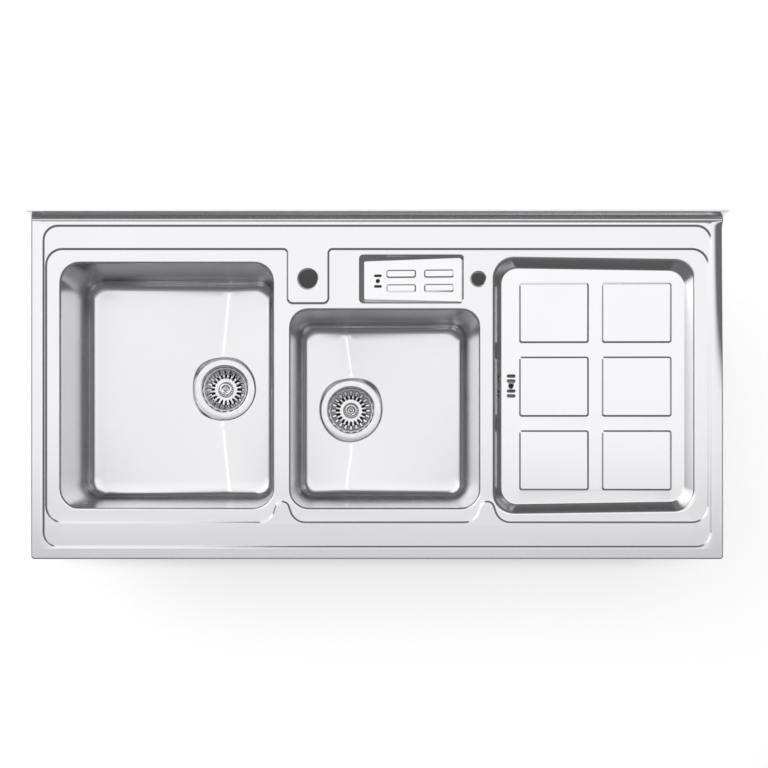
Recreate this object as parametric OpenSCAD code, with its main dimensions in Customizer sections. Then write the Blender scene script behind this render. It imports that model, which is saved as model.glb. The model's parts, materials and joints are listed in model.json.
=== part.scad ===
// Sit-on kitchen sink of pressed stainless steel: a deep large bowl, a smaller bowl, a recessed
// drainer with raised squares and a small soap tray, with basket wastes and drain hoses below.
// The origin is the centre of the plane that rests on the cabinet: +X runs from the large bowl
// to the drainer, +Y to the wall, +Z up.

/* [Deck] */
// Width of the deck, left to right
deck_w = 1200; // [1190:5:1230]
// Depth of the deck, front to wall
deck_d = 600; // [596:2:620]
// Height of the border above the cabinet
deck_h = 40; // [34:1:50]
// Thickness of the pressed sheet
sheet = 1; // [0.8:0.1:1.2]
// Drop of each of the two pressed steps
step_h = 2; // [1.5:0.5:2.5]
// Height of the upstand along the wall, above the border
upstand_h = 30; // [20:1:40]
// Width of the lip folded in under the skirt
return_lip = 20; // [12:1:24]
// Radius of the front corners
corner_r = 6; // [3:1:10]

/* [Bowls] */
// Width of the large bowl at its rim
large_w = 372; // [360:1:374]
// Length of the large bowl at its rim, front to back
large_l = 428; // [400:1:430]
// Width of the small bowl at its rim
small_w = 331; // [310:1:332]
// Length of the small bowl at its rim, front to back
small_l = 347; // [320:1:348]
// Depth from the wet level to the floor beside the waste
bowl_depth = 190; // [150:5:200]
// Inward draft of the bowl walls
wall_draft = 10; // [6:1:12]
// Radius between wall and floor
bottom_r = 19; // [14:1:20]
// Fall of each floor towards its waste
floor_fall = 6; // [3:1:8]

/* [Drainer and tray] */
// Width of the drainer recess
drainer_w = 352; // [346:1:354]
// Depth of the drainer floor at the drain side
drainer_deep = 18; // [15:1:20]
// Depth of the drainer floor at the far side
drainer_shallow = 12; // [10:1:14]
// Height of the raised squares
square_h = 2; // [1.5:0.5:2.5]
// Width of the soap tray
tray_w = 182; // [176:1:184]
// Length of the soap tray, front to back
tray_l = 84; // [80:1:85]
// Depth of the soap tray at its drain side
tray_deep = 18; // [14:1:20]
// Depth of the soap tray at its far side
tray_shallow = 8; // [6:1:9]

/* [Holes] */
// Diameter of the tap hole
tap_d = 35; // [32:0.5:36]
// Diameter of the second hole, for a dispenser or a pop-up control
accessory_d = 26; // [22:0.5:28]

/* [Wastes] */
// Outer diameter of the strainer flange
flange_d = 113; // [112:0.5:114]
// Outer diameter of the outlet thread
outlet_d = 47.8; // [46:0.1:48]
// Outer radius of the drain hoses
hose_r = 12; // [11.5:0.5:13]

/* [Hidden] */
$fn = 96;
eps = 0.01;

// Levels of the top faces: border, first step, wet level
level0 = deck_h;
level1 = level0 - step_h;
level2 = level1 - step_h;

// Half sizes of the two pressed step lines
line1_x = deck_w / 2 - 22;
line1_y = deck_d / 2 - 22;
line1_r = 25;
line2_x = line1_x - 4;
line2_back = line1_y - 40;
line2_front = 42 - line1_y;
line2_r = 28;

// Tap platform: a tongue of the first level that reaches into the wet level
tap = [-120, 186];
tap_pad_x0 = tap[0] - 35.5;
tap_pad_x1 = tap[0] + 35.5;
tap_pad_y = tap[1] - 42;
accessory = [176, 186];

// Compartments: centre of each rim
large_c = [-365, 1];
small_c = [13.5, -39.5];
drainer_c = [377, 1];
tray_c = [60, 186];
large_r = 35;
small_r = 33;
bowl_lap = 5;

// Wastes: centre of each one, and the height of the seats that their flanges lie on
large_waste = [-284, 2];
small_waste = [-45, -38];
seat_drop = 3;
seat_r = 59;
waste_hole_r = 45;
seat_z = level2 - bowl_depth - seat_drop;

// Drainer floor: rising from the drain side to the far side
drainer_wall = 19;
drainer_half_l = 223.5;
drainer_narrow = 4.7;
drainer_x0 = drainer_c[0] - drainer_w / 2;
drainer_slope = (drainer_deep - drainer_shallow) / (drainer_w - 2 * drainer_wall);
drainer_drain = [235, 1];
square_w = 122;
square_l = 105.7;
square_cols = [309.5, 453.5];
square_pitch = 128.8;
drainer_slots = [-17.4, -8.7, 8.7, 17.4];

// Tray floor: rising from its drain to the far side
tray_wall = 9;
tray_x0 = tray_c[0] - tray_w / 2;
tray_slope = (tray_deep - tray_shallow) / (tray_w - 2 * tray_wall);
tray_drain = [1.8, 184.5];
tray_slots = [-9.3, 9.3];
rib_w = 52;
rib_l = 14.5;
rib_h = 1.5;
rib_cols = [42.3, 108.1];
rib_rows = [171.8, 196.9];

// Heights inside a waste, measured from its seat
cup_floor = -30;
body_top = -4;
nut_z = -60;
inlet_z = -40;
outlet_z = -95;
spigot_r = 9.5;
spigot_bore = 7.2;
hose_bore = 9.6;
hose_bend = 45;
hose_stop = 52;
seal_t = 3;
collector_h = 12;
drainer_spigot = 15;
tray_spigot = 13;

steel = [0.80, 0.80, 0.82];
zinc = [0.62, 0.64, 0.66];
black = [0.09, 0.09, 0.10];
white = [0.90, 0.90, 0.88];
brass = [0.78, 0.62, 0.32];

// ---- Outlines -----------------------------------------------------------------------------

// Rounded rectangle as a ring of points at one height, arc_n segments to a corner
arc_n = 7;
ring_n = 4 * (arc_n + 1);
function ring(c, hx, hy, r, z) = [
    for (q = [0:3])
        let (sx = (q == 0 || q == 3) ? 1 : -1, sy = q < 2 ? 1 : -1)
        for (j = [0:arc_n])
            let (a = 90 * q + 90 * j / arc_n)
            [c[0] + sx * (hx - r) + r * cos(a), c[1] + sy * (hy - r) + r * sin(a), z]
];

// Circle with as many points as a ring
function round_ring(c, r, z) = [
    for (i = [0:ring_n - 1])
        let (a = 360 * (i + 0.5) / ring_n)
        [c[0] + r * cos(a), c[1] + r * sin(a), z]
];

// Closed outline with filleted corners: each corner is [x, y, radius], anticlockwise.
// inset moves every side inwards by the same distance.
function unit2(v) = v / norm(v);
function left_of(v) = [-v[1], v[0]];
function cross2(a, b) = a[0] * b[1] - a[1] * b[0];
function inset_corner(p, d, i) =
    let (n = len(p),
         here = [p[i][0], p[i][1]],
         before = [p[(i + n - 1) % n][0], p[(i + n - 1) % n][1]],
         after = [p[(i + 1) % n][0], p[(i + 1) % n][1]],
         u = unit2(here - before),
         v = unit2(after - here),
         turn = cross2(u, v),
         mitre = (left_of(u) + left_of(v)) / (1 + u * v))
    [here + mitre * d, turn > 0 ? max(p[i][2] - d, 0) : (p[i][2] > 0 ? p[i][2] + d : 0), u, v, turn];
function fillet_arc(k, steps) =
    k[1] < 0.01 ? [k[0]] :
    let (half = acos(max(-1, min(1, k[2] * k[3]))) / 2,
         run = k[1] * tan(half),
         side = k[4] > 0 ? 1 : -1,
         centre = k[0] - k[2] * run + left_of(k[2]) * k[1] * side,
         start = atan2(-side * left_of(k[2])[1], -side * left_of(k[2])[0]))
    [for (j = [0:steps]) let (a = start + side * 2 * half * j / steps)
        centre + k[1] * [cos(a), sin(a)]];
function outline(p, inset = 0, steps = 8) = [
    for (i = [0:len(p) - 1]) each fillet_arc(inset_corner(p, inset, i), steps)
];

function box_corners(c, hx, hy, r) = [
    [c[0] - hx, c[1] - hy, r], [c[0] + hx, c[1] - hy, r],
    [c[0] + hx, c[1] + hy, r], [c[0] - hx, c[1] + hy, r]
];
deck_corners = [
    [-deck_w / 2, -deck_d / 2, corner_r], [deck_w / 2, -deck_d / 2, corner_r],
    [deck_w / 2, deck_d / 2, 0], [-deck_w / 2, deck_d / 2, 0]
];
line1_corners = box_corners([0, 0], line1_x, line1_y, line1_r);

// Wet level: a wide panel with a hump between the compartments along the front and the tap
// platform let into its back. A hump has a wide foot and a narrow round top.
hump_x = [-164.5, 193.8];
hump_y = -200;
hump_foot = 20.4;
hump_top = 8.8;
function hump(x) = [
    [x - hump_foot, line2_front, 27], [x - hump_top, hump_y, 12],
    [x + hump_top, hump_y, 12], [x + hump_foot, line2_front, 27]
];
line2_corners = concat(
    [[-line2_x, line2_front, line2_r]],
    hump(hump_x[0]),
    hump(hump_x[1]),
    [[line2_x, line2_front, line2_r], [line2_x, line2_back, line2_r]],
    [[tap_pad_x1, line2_back, 7], [tap_pad_x1, tap_pad_y, 9]],
    [[tap_pad_x0, tap_pad_y, 9], [tap_pad_x0, line2_back, 7]],
    [[-line2_x, line2_back, line2_r]]
);

// Drainer rim: its sides close in a little towards the far side
drainer_far_l = drainer_half_l - drainer_narrow;
function drainer_corners(lap) = [
    [drainer_x0 - lap, drainer_c[1] - drainer_half_l - lap, 36 + lap],
    [drainer_x0 + drainer_w + lap, drainer_c[1] - drainer_far_l - lap, 36 + lap],
    [drainer_x0 + drainer_w + lap, drainer_c[1] + drainer_far_l + lap, 36 + lap],
    [drainer_x0 - lap, drainer_c[1] + drainer_half_l + lap, 36 + lap]
];

// ---- Solids from rings --------------------------------------------------------------------

function side_faces(rings, n, wrap) = [
    for (k = [0:rings - (wrap ? 1 : 2)], i = [0:n - 1])
        let (a = k * n + i, b = k * n + (i + 1) % n,
             c = ((k + 1) % rings) * n + (i + 1) % n, d = ((k + 1) % rings) * n + i)
        each [[a, b, c], [a, c, d]]
];

// Rings in a closed loop, such as the two faces of a sheet around a hole
module loft_loop(rings) {
    n = len(rings[0]);
    polyhedron(points = [for (r = rings) each r], faces = side_faces(len(rings), n, true));
}

// Rings from one flat end to another
module loft_capped(rings) {
    n = len(rings[0]);
    last = (len(rings) - 1) * n;
    polyhedron(
        points = [for (r = rings) each r],
        faces = concat([[for (i = [n - 1:-1:0]) i]], side_faces(len(rings), n, false),
                       [[for (i = [0:n - 1]) last + i]])
    );
}

// ---- Deck ---------------------------------------------------------------------------------

module plate(z0, z1) {
    translate([0, 0, z0]) linear_extrude(z1 - z0) children();
}

module wall_ring(corners) {
    difference() {
        polygon(outline(corners));
        polygon(outline(corners, sheet));
    }
}

// Upstand profile, drawn in the plane across the deck: a leaning front leaf, a narrow top and
// an upright back that carries on down as the rear skirt
upstand_foot = 8;
upstand_top = 3;
module upstand_profile() {
    y = deck_d / 2;
    top = level0 + upstand_h;
    polygon([[y - upstand_foot, level0 - sheet], [y - upstand_foot + sheet, level0 - sheet],
             [y - upstand_top + sheet, top - sheet], [y - sheet, top - sheet], [y - sheet, 0],
             [y, 0], [y, top], [y - upstand_top, top]]);
}

module upstand_end() {
    y = deck_d / 2;
    polygon([[y - upstand_foot, level0 - sheet], [y, level0 - sheet],
             [y, level0 + upstand_h], [y - upstand_top, level0 + upstand_h]]);
}

module across(x0, x1) {
    translate([x0, 0, 0]) rotate([90, 0, 90]) linear_extrude(x1 - x0) children();
}

module deck() color(steel) {
    hw = deck_w / 2;
    difference() {
        union() {
            plate(0, level0) wall_ring(deck_corners);
            plate(0, sheet) difference() {
                polygon(outline(deck_corners));
                square([deck_w - 2 * return_lip, deck_d - 2 * return_lip], center = true);
            }
            plate(level0 - sheet, level0) difference() {
                polygon(outline(deck_corners));
                polygon(outline(line1_corners));
            }
            plate(level1 - sheet, level0) wall_ring(line1_corners);
            plate(level1 - sheet, level1) difference() {
                polygon(outline(line1_corners));
                polygon(outline(line2_corners));
            }
            plate(level2 - sheet, level1) wall_ring(line2_corners);
            plate(level2 - sheet, level2) polygon(outline(line2_corners));
            across(-hw, hw) upstand_profile();
            across(-hw, -hw + sheet) upstand_end();
            across(hw - sheet, hw) upstand_end();
        }
        plate(level2 - 2 * sheet, level2 + eps) {
            polygon(outline(box_corners(large_c, large_w / 2, large_l / 2, large_r)));
            polygon(outline(box_corners(small_c, small_w / 2, small_l / 2, small_r)));
            polygon(outline(drainer_corners(0)));
            polygon(outline(box_corners(tray_c, tray_w / 2, tray_l / 2, 6)));
        }
        translate([tap[0], tap[1], 0]) cylinder(r = tap_d / 2, h = deck_h);
        translate([accessory[0], accessory[1], 0]) cylinder(r = accessory_d / 2, h = deck_h);
    }
}

module tap_plate() color(zinc) difference() {
    plate(level1 - sheet - 2, level1 - sheet)
        polygon(outline(box_corners([tap[0], tap[1] + 5], 33, 44, 6)));
    translate([tap[0], tap[1], 0]) cylinder(r = tap_d / 2, h = deck_h);
}

// Hat-shaped channel with its brim up: drawn across, the brim's top at zero
hat_w = 34;
hat_brim = 8;
hat_h = 18;
hat_t = 1.2;
module hat_profile() {
    w = hat_w / 2;
    k = w - hat_brim;
    polygon([[-w, 0], [-w, -hat_t], [-k, -hat_t], [-k, -hat_h], [k, -hat_h], [k, -hat_t],
             [w, -hat_t], [w, 0], [k - hat_t, 0], [k - hat_t, hat_t - hat_h],
             [hat_t - k, hat_t - hat_h], [hat_t - k, 0]]);
}

module long_stiffener(y) color(zinc)
    translate([0, y, level1 - sheet]) across(-540, 540) hat_profile();

module front_stiffener() long_stiffener((line2_front - line1_y) / 2);
module rear_stiffener() long_stiffener((line2_back + line1_y) / 2);

module drainer_stiffener() color(zinc) {
    x = (square_cols[0] + square_cols[1]) / 2;
    translate([x, drainer_c[1], drainer_floor(x) - sheet / cos(atan(drainer_slope))])
        rotate([0, -atan(drainer_slope), 0]) rotate([90, 0, 0])
        linear_extrude(380, center = true) hat_profile();
}

// ---- Bowls --------------------------------------------------------------------------------

edge_depth = bowl_depth - floor_fall;
bend_steps = 5;

// Upper face of a bowl: [inset from the rim, depth below the wet level]
function bowl_face() = concat(
    [[-bowl_lap, sheet], [0, sheet]],
    [for (j = [0:bend_steps]) let (a = 90 * j / bend_steps)
        [wall_draft + bottom_r * (1 - cos(a)), edge_depth - bottom_r * (1 - sin(a))]]
);
// Face under it, extra below: the sheet's own back, or the back of a pad stuck to it
function bowl_back(extra) = concat(
    [for (j = [bend_steps:-1:0])
        let (a = 90 * j / bend_steps, r = bottom_r + extra)
        [wall_draft + bottom_r - r * cos(a), edge_depth - bottom_r + r * sin(a)]],
    [[-extra, sheet + extra], [-bowl_lap, sheet + extra]]
);
function bowl_ring(c, w, l, r, p) =
    ring(c, w / 2 - p[0], l / 2 - p[0], r - 0.45 * p[0], level2 - p[1]);

module bowl(c, w, l, r, waste) {
    top = level2 - bowl_depth;
    loft_loop(concat(
        [for (p = bowl_face()) bowl_ring(c, w, l, r, p)],
        [round_ring(waste, seat_r + 3, top), round_ring(waste, seat_r, seat_z),
         round_ring(waste, waste_hole_r, seat_z), round_ring(waste, waste_hole_r, seat_z - sheet),
         round_ring(waste, seat_r + sheet / 2, seat_z - sheet),
         round_ring(waste, seat_r + 3 + sheet / 2, top - sheet)],
        [for (p = bowl_back(sheet)) bowl_ring(c, w, l, r, p)]
    ));
}

module large_bowl() color(steel) bowl(large_c, large_w, large_l, large_r, large_waste);
module small_bowl() color(steel) bowl(small_c, small_w, small_l, small_r, small_waste);

// Bitumen pad stuck to the underside of a floor, kept clear of the bend and of the waste
pad_t = 2.5;
module sound_pad(c, w, l, r, waste) {
    inset = wall_draft + bottom_r;
    edge = ring(c, w / 2 - inset, l / 2 - inset, r - 0.45 * inset, level2 - edge_depth - sheet);
    hub = round_ring(waste, seat_r + 3 + sheet / 2, level2 - bowl_depth - sheet);
    outer = [for (i = [0:ring_n - 1]) edge[i] + (hub[i] - edge[i]) * 0.06];
    inner = [for (i = [0:ring_n - 1]) edge[i] + (hub[i] - edge[i]) * 0.82];
    drop = [0, 0, pad_t];
    loft_loop([outer, inner, [for (p = inner) p - drop], [for (p = outer) p - drop]]);
}

module large_sound_pad() color(black) sound_pad(large_c, large_w, large_l, large_r, large_waste);
module small_sound_pad() color(black) sound_pad(small_c, small_w, small_l, small_r, small_waste);

// ---- Drainer pan and soap tray --------------------------------------------------------------

function drainer_floor(x) =
    level2 - drainer_deep + drainer_slope * (x - drainer_x0 - drainer_wall);
function tray_floor(x) = level2 - tray_deep + tray_slope * (x - tray_x0 - tray_wall);

function floor_z(tray, x) = tray ? tray_floor(x) : drainer_floor(x);

// A pan ring: closes in towards the far side by narrow, and is flat or follows the floor
function pan_ring(c, hx, hy, r, narrow, part, lift, tray) = [
    for (p = ring(c, hx, hy, r, 0))
        let (t = (p[0] - c[0] + hx) / (2 * hx),
             y = c[1] + (p[1] - c[1]) * (1 - narrow * t / hy),
             low = floor_z(tray, p[0]))
        [p[0], y, (1 - part) * level2 + part * low + lift]
];

// Share of a wall's width and of its depth, from the rim to the floor
wall_curve = [[0.12, 0.10], [0.35, 0.45], [0.62, 0.82], [0.82, 0.96], [1, 1]];

module pan(c, w, l, r, wall, lap, narrow, tray) {
    hx = w / 2;
    hy = l / 2;
    function at(inset, part, lift) =
        pan_ring(c, hx - inset, hy - inset, r - 0.5 * inset, narrow, part, lift, tray);
    last = len(wall_curve) - 1;
    loft_capped(concat(
        [for (k = [last:-1:0]) at(wall * wall_curve[k][0], wall_curve[k][1], 0)],
        [at(0, 0, -sheet), at(-lap, 0, -sheet), at(-lap, 0, -2 * sheet), at(-sheet, 0, -2 * sheet)],
        [for (k = [0:last]) at(wall * wall_curve[k][0] - sheet * (k < last ? 0.7 : 0.3),
                               wall_curve[k][1], -sheet)]
    ));
}

// A raised field with sloping edges, h proud of a sloping floor; cut makes the hollow below it
module raised(c, hx, hy, r, edge, h, tray, cut) {
    low = cut ? -sheet - 0.5 : -sheet / 2;
    high = cut ? h - sheet : h;
    shrink = cut ? sheet / 2 : 0;
    function at(inset, lift) = [
        for (p = ring(c, hx - inset, hy - inset, r, 0))
            [p[0], p[1], floor_z(tray, p[0]) + lift]
    ];
    loft_capped([at(edge + shrink, high), at(shrink, low)]);
}

module slot(c, length, width, depth) {
    translate([c[0], c[1], level2 - depth]) linear_extrude(depth) {
        square([length - width, width], center = true);
        for (s = [-1, 1]) translate([s * (length - width) / 2, 0]) circle(r = width / 2);
    }
}

module squares(cut) {
    for (x = square_cols, k = [-1:1])
        raised([x, drainer_c[1] - 1 + k * square_pitch], square_w / 2, square_l / 2, 5, 2.5,
               square_h, false, cut);
}

module drainer_pan() color(steel) difference() {
    union() {
        pan(drainer_c, drainer_w, 2 * drainer_half_l, 36, drainer_wall, 6, drainer_narrow, false);
        squares(false);
    }
    squares(true);
    for (y = drainer_slots) slot([drainer_drain[0], drainer_drain[1] + y], 14.6, 5, 25);
    translate([drainer_drain[0], drainer_drain[1], 0]) cylinder(r = 4.1, h = level2);
}

module ribs(cut) {
    for (x = rib_cols, y = rib_rows)
        raised([x, y], rib_w / 2, rib_l / 2, 4, 1.5, rib_h, true, cut);
}

module soap_tray() color(steel) difference() {
    union() {
        pan(tray_c, tray_w, tray_l, 7, tray_wall, 4, 0, true);
        ribs(false);
    }
    ribs(true);
    for (y = tray_slots) slot([tray_drain[0], tray_drain[1] + y], 13, 3.8, 25);
    translate([tray_drain[0], tray_drain[1], 0]) cylinder(r = 3.1, h = level2);
}

// ---- Wastes -------------------------------------------------------------------------------

module at_large() translate([large_waste[0], large_waste[1], seat_z]) children();
module at_small() translate([small_waste[0], small_waste[1], seat_z]) children();

module tube(r0, r1, z0, z1) rotate_extrude()
    polygon([[r0, z0], [r1, z0], [r1, z1], [r0, z1]]);

// Stainless cup with its flange, a drain opening and three arms to the hub of the clamp screw
drain_opening = 26;
module strainer() color(steel) {
    f = flange_d / 2;
    z = cup_floor;
    difference() {
        union() {
            rotate_extrude() polygon([
                [f, 0.3], [f, 1.5], [f - 0.5, 2], [45.5, 2], [43.6, 1.3], [42.7, 0], [42.7, -1],
                [39.7, z + 1], [38.7, z], [drain_opening, z], [drain_opening, z - 1],
                [39.2, z - 1], [40.7, z + 0.7], [43.7, -1], [43.7, 0.4], [44.5, 1], [f - 1, 1],
                [f - 1, 0.3]]);
            translate([0, 0, z - 1]) cylinder(r = 9, h = 1);
            for (a = [0:120:240]) rotate(a) translate([7, -3, z - 1]) cube([21, 6, 1]);
        }
        translate([0, 0, z - 2]) cylinder(r = 3.25, h = 3);
    }
}

module flange_seal() color(black) tube(46, 55, 0, 1);
module lower_seal() color(black) tube(47.5, 57, body_top, -sheet);

// Plastic body below the bowl: cup, side inlet for a hose, threaded outlet and the cross that
// carries the clamp nut
module waste_body(inlet_angle) color(white) {
    o = outlet_d / 2;
    difference() {
        union() {
            rotate_extrude() polygon([
                [47, body_top], [58, body_top], [58, -8], [50.2, -8], [48.6, -50], [o, -66],
                [o, outlet_z], [20.5, outlet_z], [20.5, -67.5], [45.6, -51.3], [47, -8]]);
            intersection() {
                rotate_extrude() polygon([[0, -50], [47.5, -50], [35.7, -58], [0, -58]]);
                for (a = [45, 135]) rotate(a) translate([-50, -2, -58]) cube([100, 4, 8]);
            }
            translate([0, 0, nut_z]) cylinder(r = 9, h = 10);
            rotate(inlet_angle) translate([46.8, 0, inlet_z]) rotate([0, 90, 0]) {
                cylinder(r = 13, h = hose_stop - 46.8);
                cylinder(r = spigot_r, h = 31);
            }
        }
        rotate(inlet_angle) translate([40, 0, inlet_z]) rotate([0, 90, 0])
            cylinder(r = spigot_bore, h = 40);
        translate([0, 0, nut_z - 1]) cylinder(r = 3.3, h = 12);
        translate([0, 0, nut_z - 1]) cylinder(r = 5.8, h = 6, $fn = 6);
    }
}

module clamp_screw() color(zinc) {
    translate([0, 0, nut_z - 3]) cylinder(r = 3, h = cup_floor - nut_z + 3);
    rotate_extrude() polygon([[0, cup_floor], [6, cup_floor], [6, cup_floor + 1.6],
                              [4.6, cup_floor + 2.8], [0, cup_floor + 2.8]]);
}

module clamp_nut() color(brass) translate([0, 0, nut_z]) difference() {
    cylinder(r = 5.75, h = 5, $fn = 6);
    translate([0, 0, -1]) cylinder(r = 3, h = 7);
}

// ---- Baskets: slotted cup, knob, stem, plug and rivet lift out together ----------------------

basket_floor = -19.2;
basket_slots = 20;
module basket() color(steel) difference() {
    b = basket_floor;
    rotate_extrude() polygon([
        [41.4, -0.6], [41.4, 0.4], [40.9, 0.9], [39.8, 0.9], [39.2, 0.1], [31.4, b + 4.6],
        [30.2, b + 1.6], [27.2, b], [4.1, b], [4.1, b - 0.8], [27.6, b - 0.8], [31, b + 1],
        [32.2, b + 4.3], [40, -0.4], [40.4, -0.6]]);
    for (k = [0:basket_slots - 1]) rotate(k * 360 / basket_slots)
        translate([21, -1.8, b - 2]) cube([16, 3.6, 16]);
}

module basket_knob() color(steel) {
    b = basket_floor;
    difference() {
        rotate_extrude() polygon([
            [0, b], [15.6, b], [15.2, b + 3], [13.6, b + 6.6], [11.4, b + 8.6], [9.2, b + 9.2],
            [7.6, b + 8.8], [6, b + 7.6], [0, b + 7.6]]);
        translate([0, 0, b - eps]) cylinder(r = 4.1, h = 5.7 + eps);
        translate([0, 0, b]) cylinder(r = 1.8, h = 10);
    }
}

module basket_stem() color(black) difference() {
    union() {
        translate([0, 0, -25]) cylinder(r = 8, h = 25 + basket_floor - 0.8);
        translate([0, 0, -25]) cylinder(r = 4, h = 25 + basket_floor + 5.7);
    }
    translate([0, 0, basket_floor + 2]) cylinder(r = 1.8, h = 6);
}

module basket_plug() color(black) difference() {
    translate([0, 0, cup_floor]) rotate_extrude() polygon([
        [0, 0], [27.6, 0], [29, 1.4], [29, 3.4], [27, 5], [0, 5]]);
    translate([0, 0, cup_floor - 1]) cylinder(r = 10, h = 4.2);
}

module basket_rivet() color(zinc) {
    translate([0, 0, basket_floor + 2]) cylinder(r = 1.8, h = 5.6);
    translate([0, 0, basket_floor + 7.6]) rotate_extrude()
        polygon([[0, 0], [4.4, 0], [3.6, 0.9], [0, 1.3]]);
}

module large_strainer() at_large() strainer();
module large_flange_seal() at_large() flange_seal();
module large_lower_seal() at_large() lower_seal();
module large_waste_body() at_large() waste_body(tray_hose_angle);
module large_clamp_screw() at_large() clamp_screw();
module large_clamp_nut() at_large() clamp_nut();
module large_basket() at_large() basket();
module large_basket_knob() at_large() basket_knob();
module large_basket_stem() at_large() basket_stem();
module large_basket_plug() at_large() basket_plug();
module large_basket_rivet() at_large() basket_rivet();

module small_strainer() at_small() strainer();
module small_flange_seal() at_small() flange_seal();
module small_lower_seal() at_small() lower_seal();
module small_waste_body() at_small() waste_body(drainer_hose_angle);
module small_clamp_screw() at_small() clamp_screw();
module small_clamp_nut() at_small() clamp_nut();
module small_basket() at_small() basket();
module small_basket_knob() at_small() basket_knob();
module small_basket_stem() at_small() basket_stem();
module small_basket_plug() at_small() basket_plug();
module small_basket_rivet() at_small() basket_rivet();

// ---- Collectors under the drainer and the tray ----------------------------------------------

// Underside of a floor at its drain, where the seal's thinnest side is seal_t thick
drainer_under = drainer_floor(drainer_drain[0]) - sheet;
tray_under = tray_floor(tray_drain[0]) - sheet;
drainer_cup_r = 30;
tray_cup_r = 24;
drainer_cup_z = drainer_under - drainer_slope * drainer_cup_r - seal_t;
tray_cup_z = tray_under - tray_slope * tray_cup_r - seal_t;

module collector(c, z, r, spigot_x) color(white) translate([c[0], c[1], z]) difference() {
    union() {
        difference() {
            translate([0, 0, -collector_h]) cylinder(r = r, h = collector_h);
            translate([0, 0, 2 - collector_h]) cylinder(r = r - 2.5, h = collector_h);
        }
        translate([0, 0, -collector_h]) cylinder(r = 4.5, h = collector_h);
        translate([spigot_x, 0, -collector_h - 28]) cylinder(r = spigot_r, h = 29);
        translate([spigot_x, 0, -collector_h - 3]) cylinder(r = 13, h = 3.5);
    }
    translate([spigot_x, 0, -collector_h - 29]) cylinder(r = spigot_bore, h = 29 + 3);
    translate([0, 0, 3 - collector_h]) cylinder(r = 2, h = collector_h);
}

// Wedge ring between the level cup and the sloping floor above it
module collector_seal(c, z, r, under, slope) color(black) difference() {
    translate([c[0], c[1], z]) cylinder(r = r, h = 12);
    translate([c[0], c[1], z - 1]) cylinder(r = r - 4.5, h = 14);
    translate([c[0], c[1], under]) rotate([0, -atan(slope), 0])
        translate([-60, -60, 0]) cube([120, 120, 30]);
}

// Countersunk screw through the floor into the post of the cup
module collector_screw(c, z, top, head_r) color(zinc) translate([c[0], c[1], 0]) {
    translate([0, 0, z - collector_h + 4]) cylinder(r = 2, h = top - 2.5 - z + collector_h - 4);
    translate([0, 0, top - 2.5 - eps]) cylinder(r1 = 2, r2 = head_r, h = 2);
}

module drainer_collector()
    collector(drainer_drain, drainer_cup_z, drainer_cup_r, drainer_spigot);
module drainer_collector_seal()
    collector_seal(drainer_drain, drainer_cup_z, drainer_cup_r, drainer_under, drainer_slope);
module drainer_collector_screw()
    collector_screw(drainer_drain, drainer_cup_z, drainer_under + sheet, 3.8);
module tray_collector()
    collector(tray_drain, tray_cup_z, tray_cup_r, tray_spigot);
module tray_collector_seal()
    collector_seal(tray_drain, tray_cup_z, tray_cup_r, tray_under, tray_slope);
module tray_collector_screw()
    collector_screw(tray_drain, tray_cup_z, tray_under + sheet, 2.9);

// ---- Hoses and clips ------------------------------------------------------------------------

// Each hose drops from a spigot, bends once and runs level to the side inlet of a waste: it
// lies in the upright plane through both
drainer_from = [drainer_drain[0] + drainer_spigot, drainer_drain[1]];
tray_from = [tray_drain[0] + tray_spigot, tray_drain[1]];
drainer_hose_angle = atan2(drainer_from[1] - small_waste[1], drainer_from[0] - small_waste[0]);
tray_hose_angle = atan2(tray_from[1] - large_waste[1], tray_from[0] - large_waste[0]);
hose_level = seat_z + inlet_z;
hose_sides = 12;
bend_rings = 8;

// Route as [distance from the waste, height, tilt of the ring's plane]
function hose_route(reach, top) = concat(
    [for (k = [0:5]) [reach, top + (hose_level + hose_bend - top) * k / 6, 0]],
    [for (k = [0:bend_rings]) let (a = 90 * k / bend_rings)
        [reach - hose_bend * (1 - cos(a)), hose_level + hose_bend * (1 - sin(a)), a]],
    [for (k = [1:7]) let (x = reach - hose_bend)
        [x + (hose_stop - x) * k / 7, hose_level, 90]]
);
function hose_ring(p, r) = [
    for (i = [0:hose_sides - 1])
        let (a = 360 * i / hose_sides)
        [p[0] + r * cos(a) * cos(p[2]), r * sin(a), p[1] - r * cos(a) * sin(p[2])]
];

module hose(waste, from, top) color(white) {
    reach = norm(from - waste);
    route = hose_route(reach, top);
    last = len(route) - 1;
    inner_r = hose_bore / cos(180 / hose_sides);
    translate([waste[0], waste[1], 0])
        rotate(atan2(from[1] - waste[1], from[0] - waste[0]))
        loft_loop(concat([for (p = route) hose_ring(p, hose_r)],
                         [for (k = [last:-1:0]) hose_ring(route[k], inner_r)]));
}

drainer_hose_top = drainer_cup_z - collector_h - 3;
tray_hose_top = tray_cup_z - collector_h - 3;
module drainer_hose() hose(small_waste, drainer_from, drainer_hose_top);
module tray_hose() hose(large_waste, tray_from, tray_hose_top);

module clip() difference() {
    union() {
        cylinder(r = hose_r + 1, h = 9);
        translate([hose_r - 1, -5, 0.5]) cube([7, 10, 8]);
    }
    translate([0, 0, -1]) cylinder(r = hose_r + 0.05, h = 11);
}

module hose_clips() color(zinc) {
    translate([drainer_from[0], drainer_from[1], drainer_hose_top - 16]) clip();
    translate([tray_from[0], tray_from[1], tray_hose_top - 16]) clip();
    for (w = [[small_waste, drainer_hose_angle], [large_waste, tray_hose_angle]])
        translate([w[0][0], w[0][1], hose_level]) rotate(w[1])
            translate([hose_stop + 7, 0, 0]) rotate([0, 90, 0]) clip();
}

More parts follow.
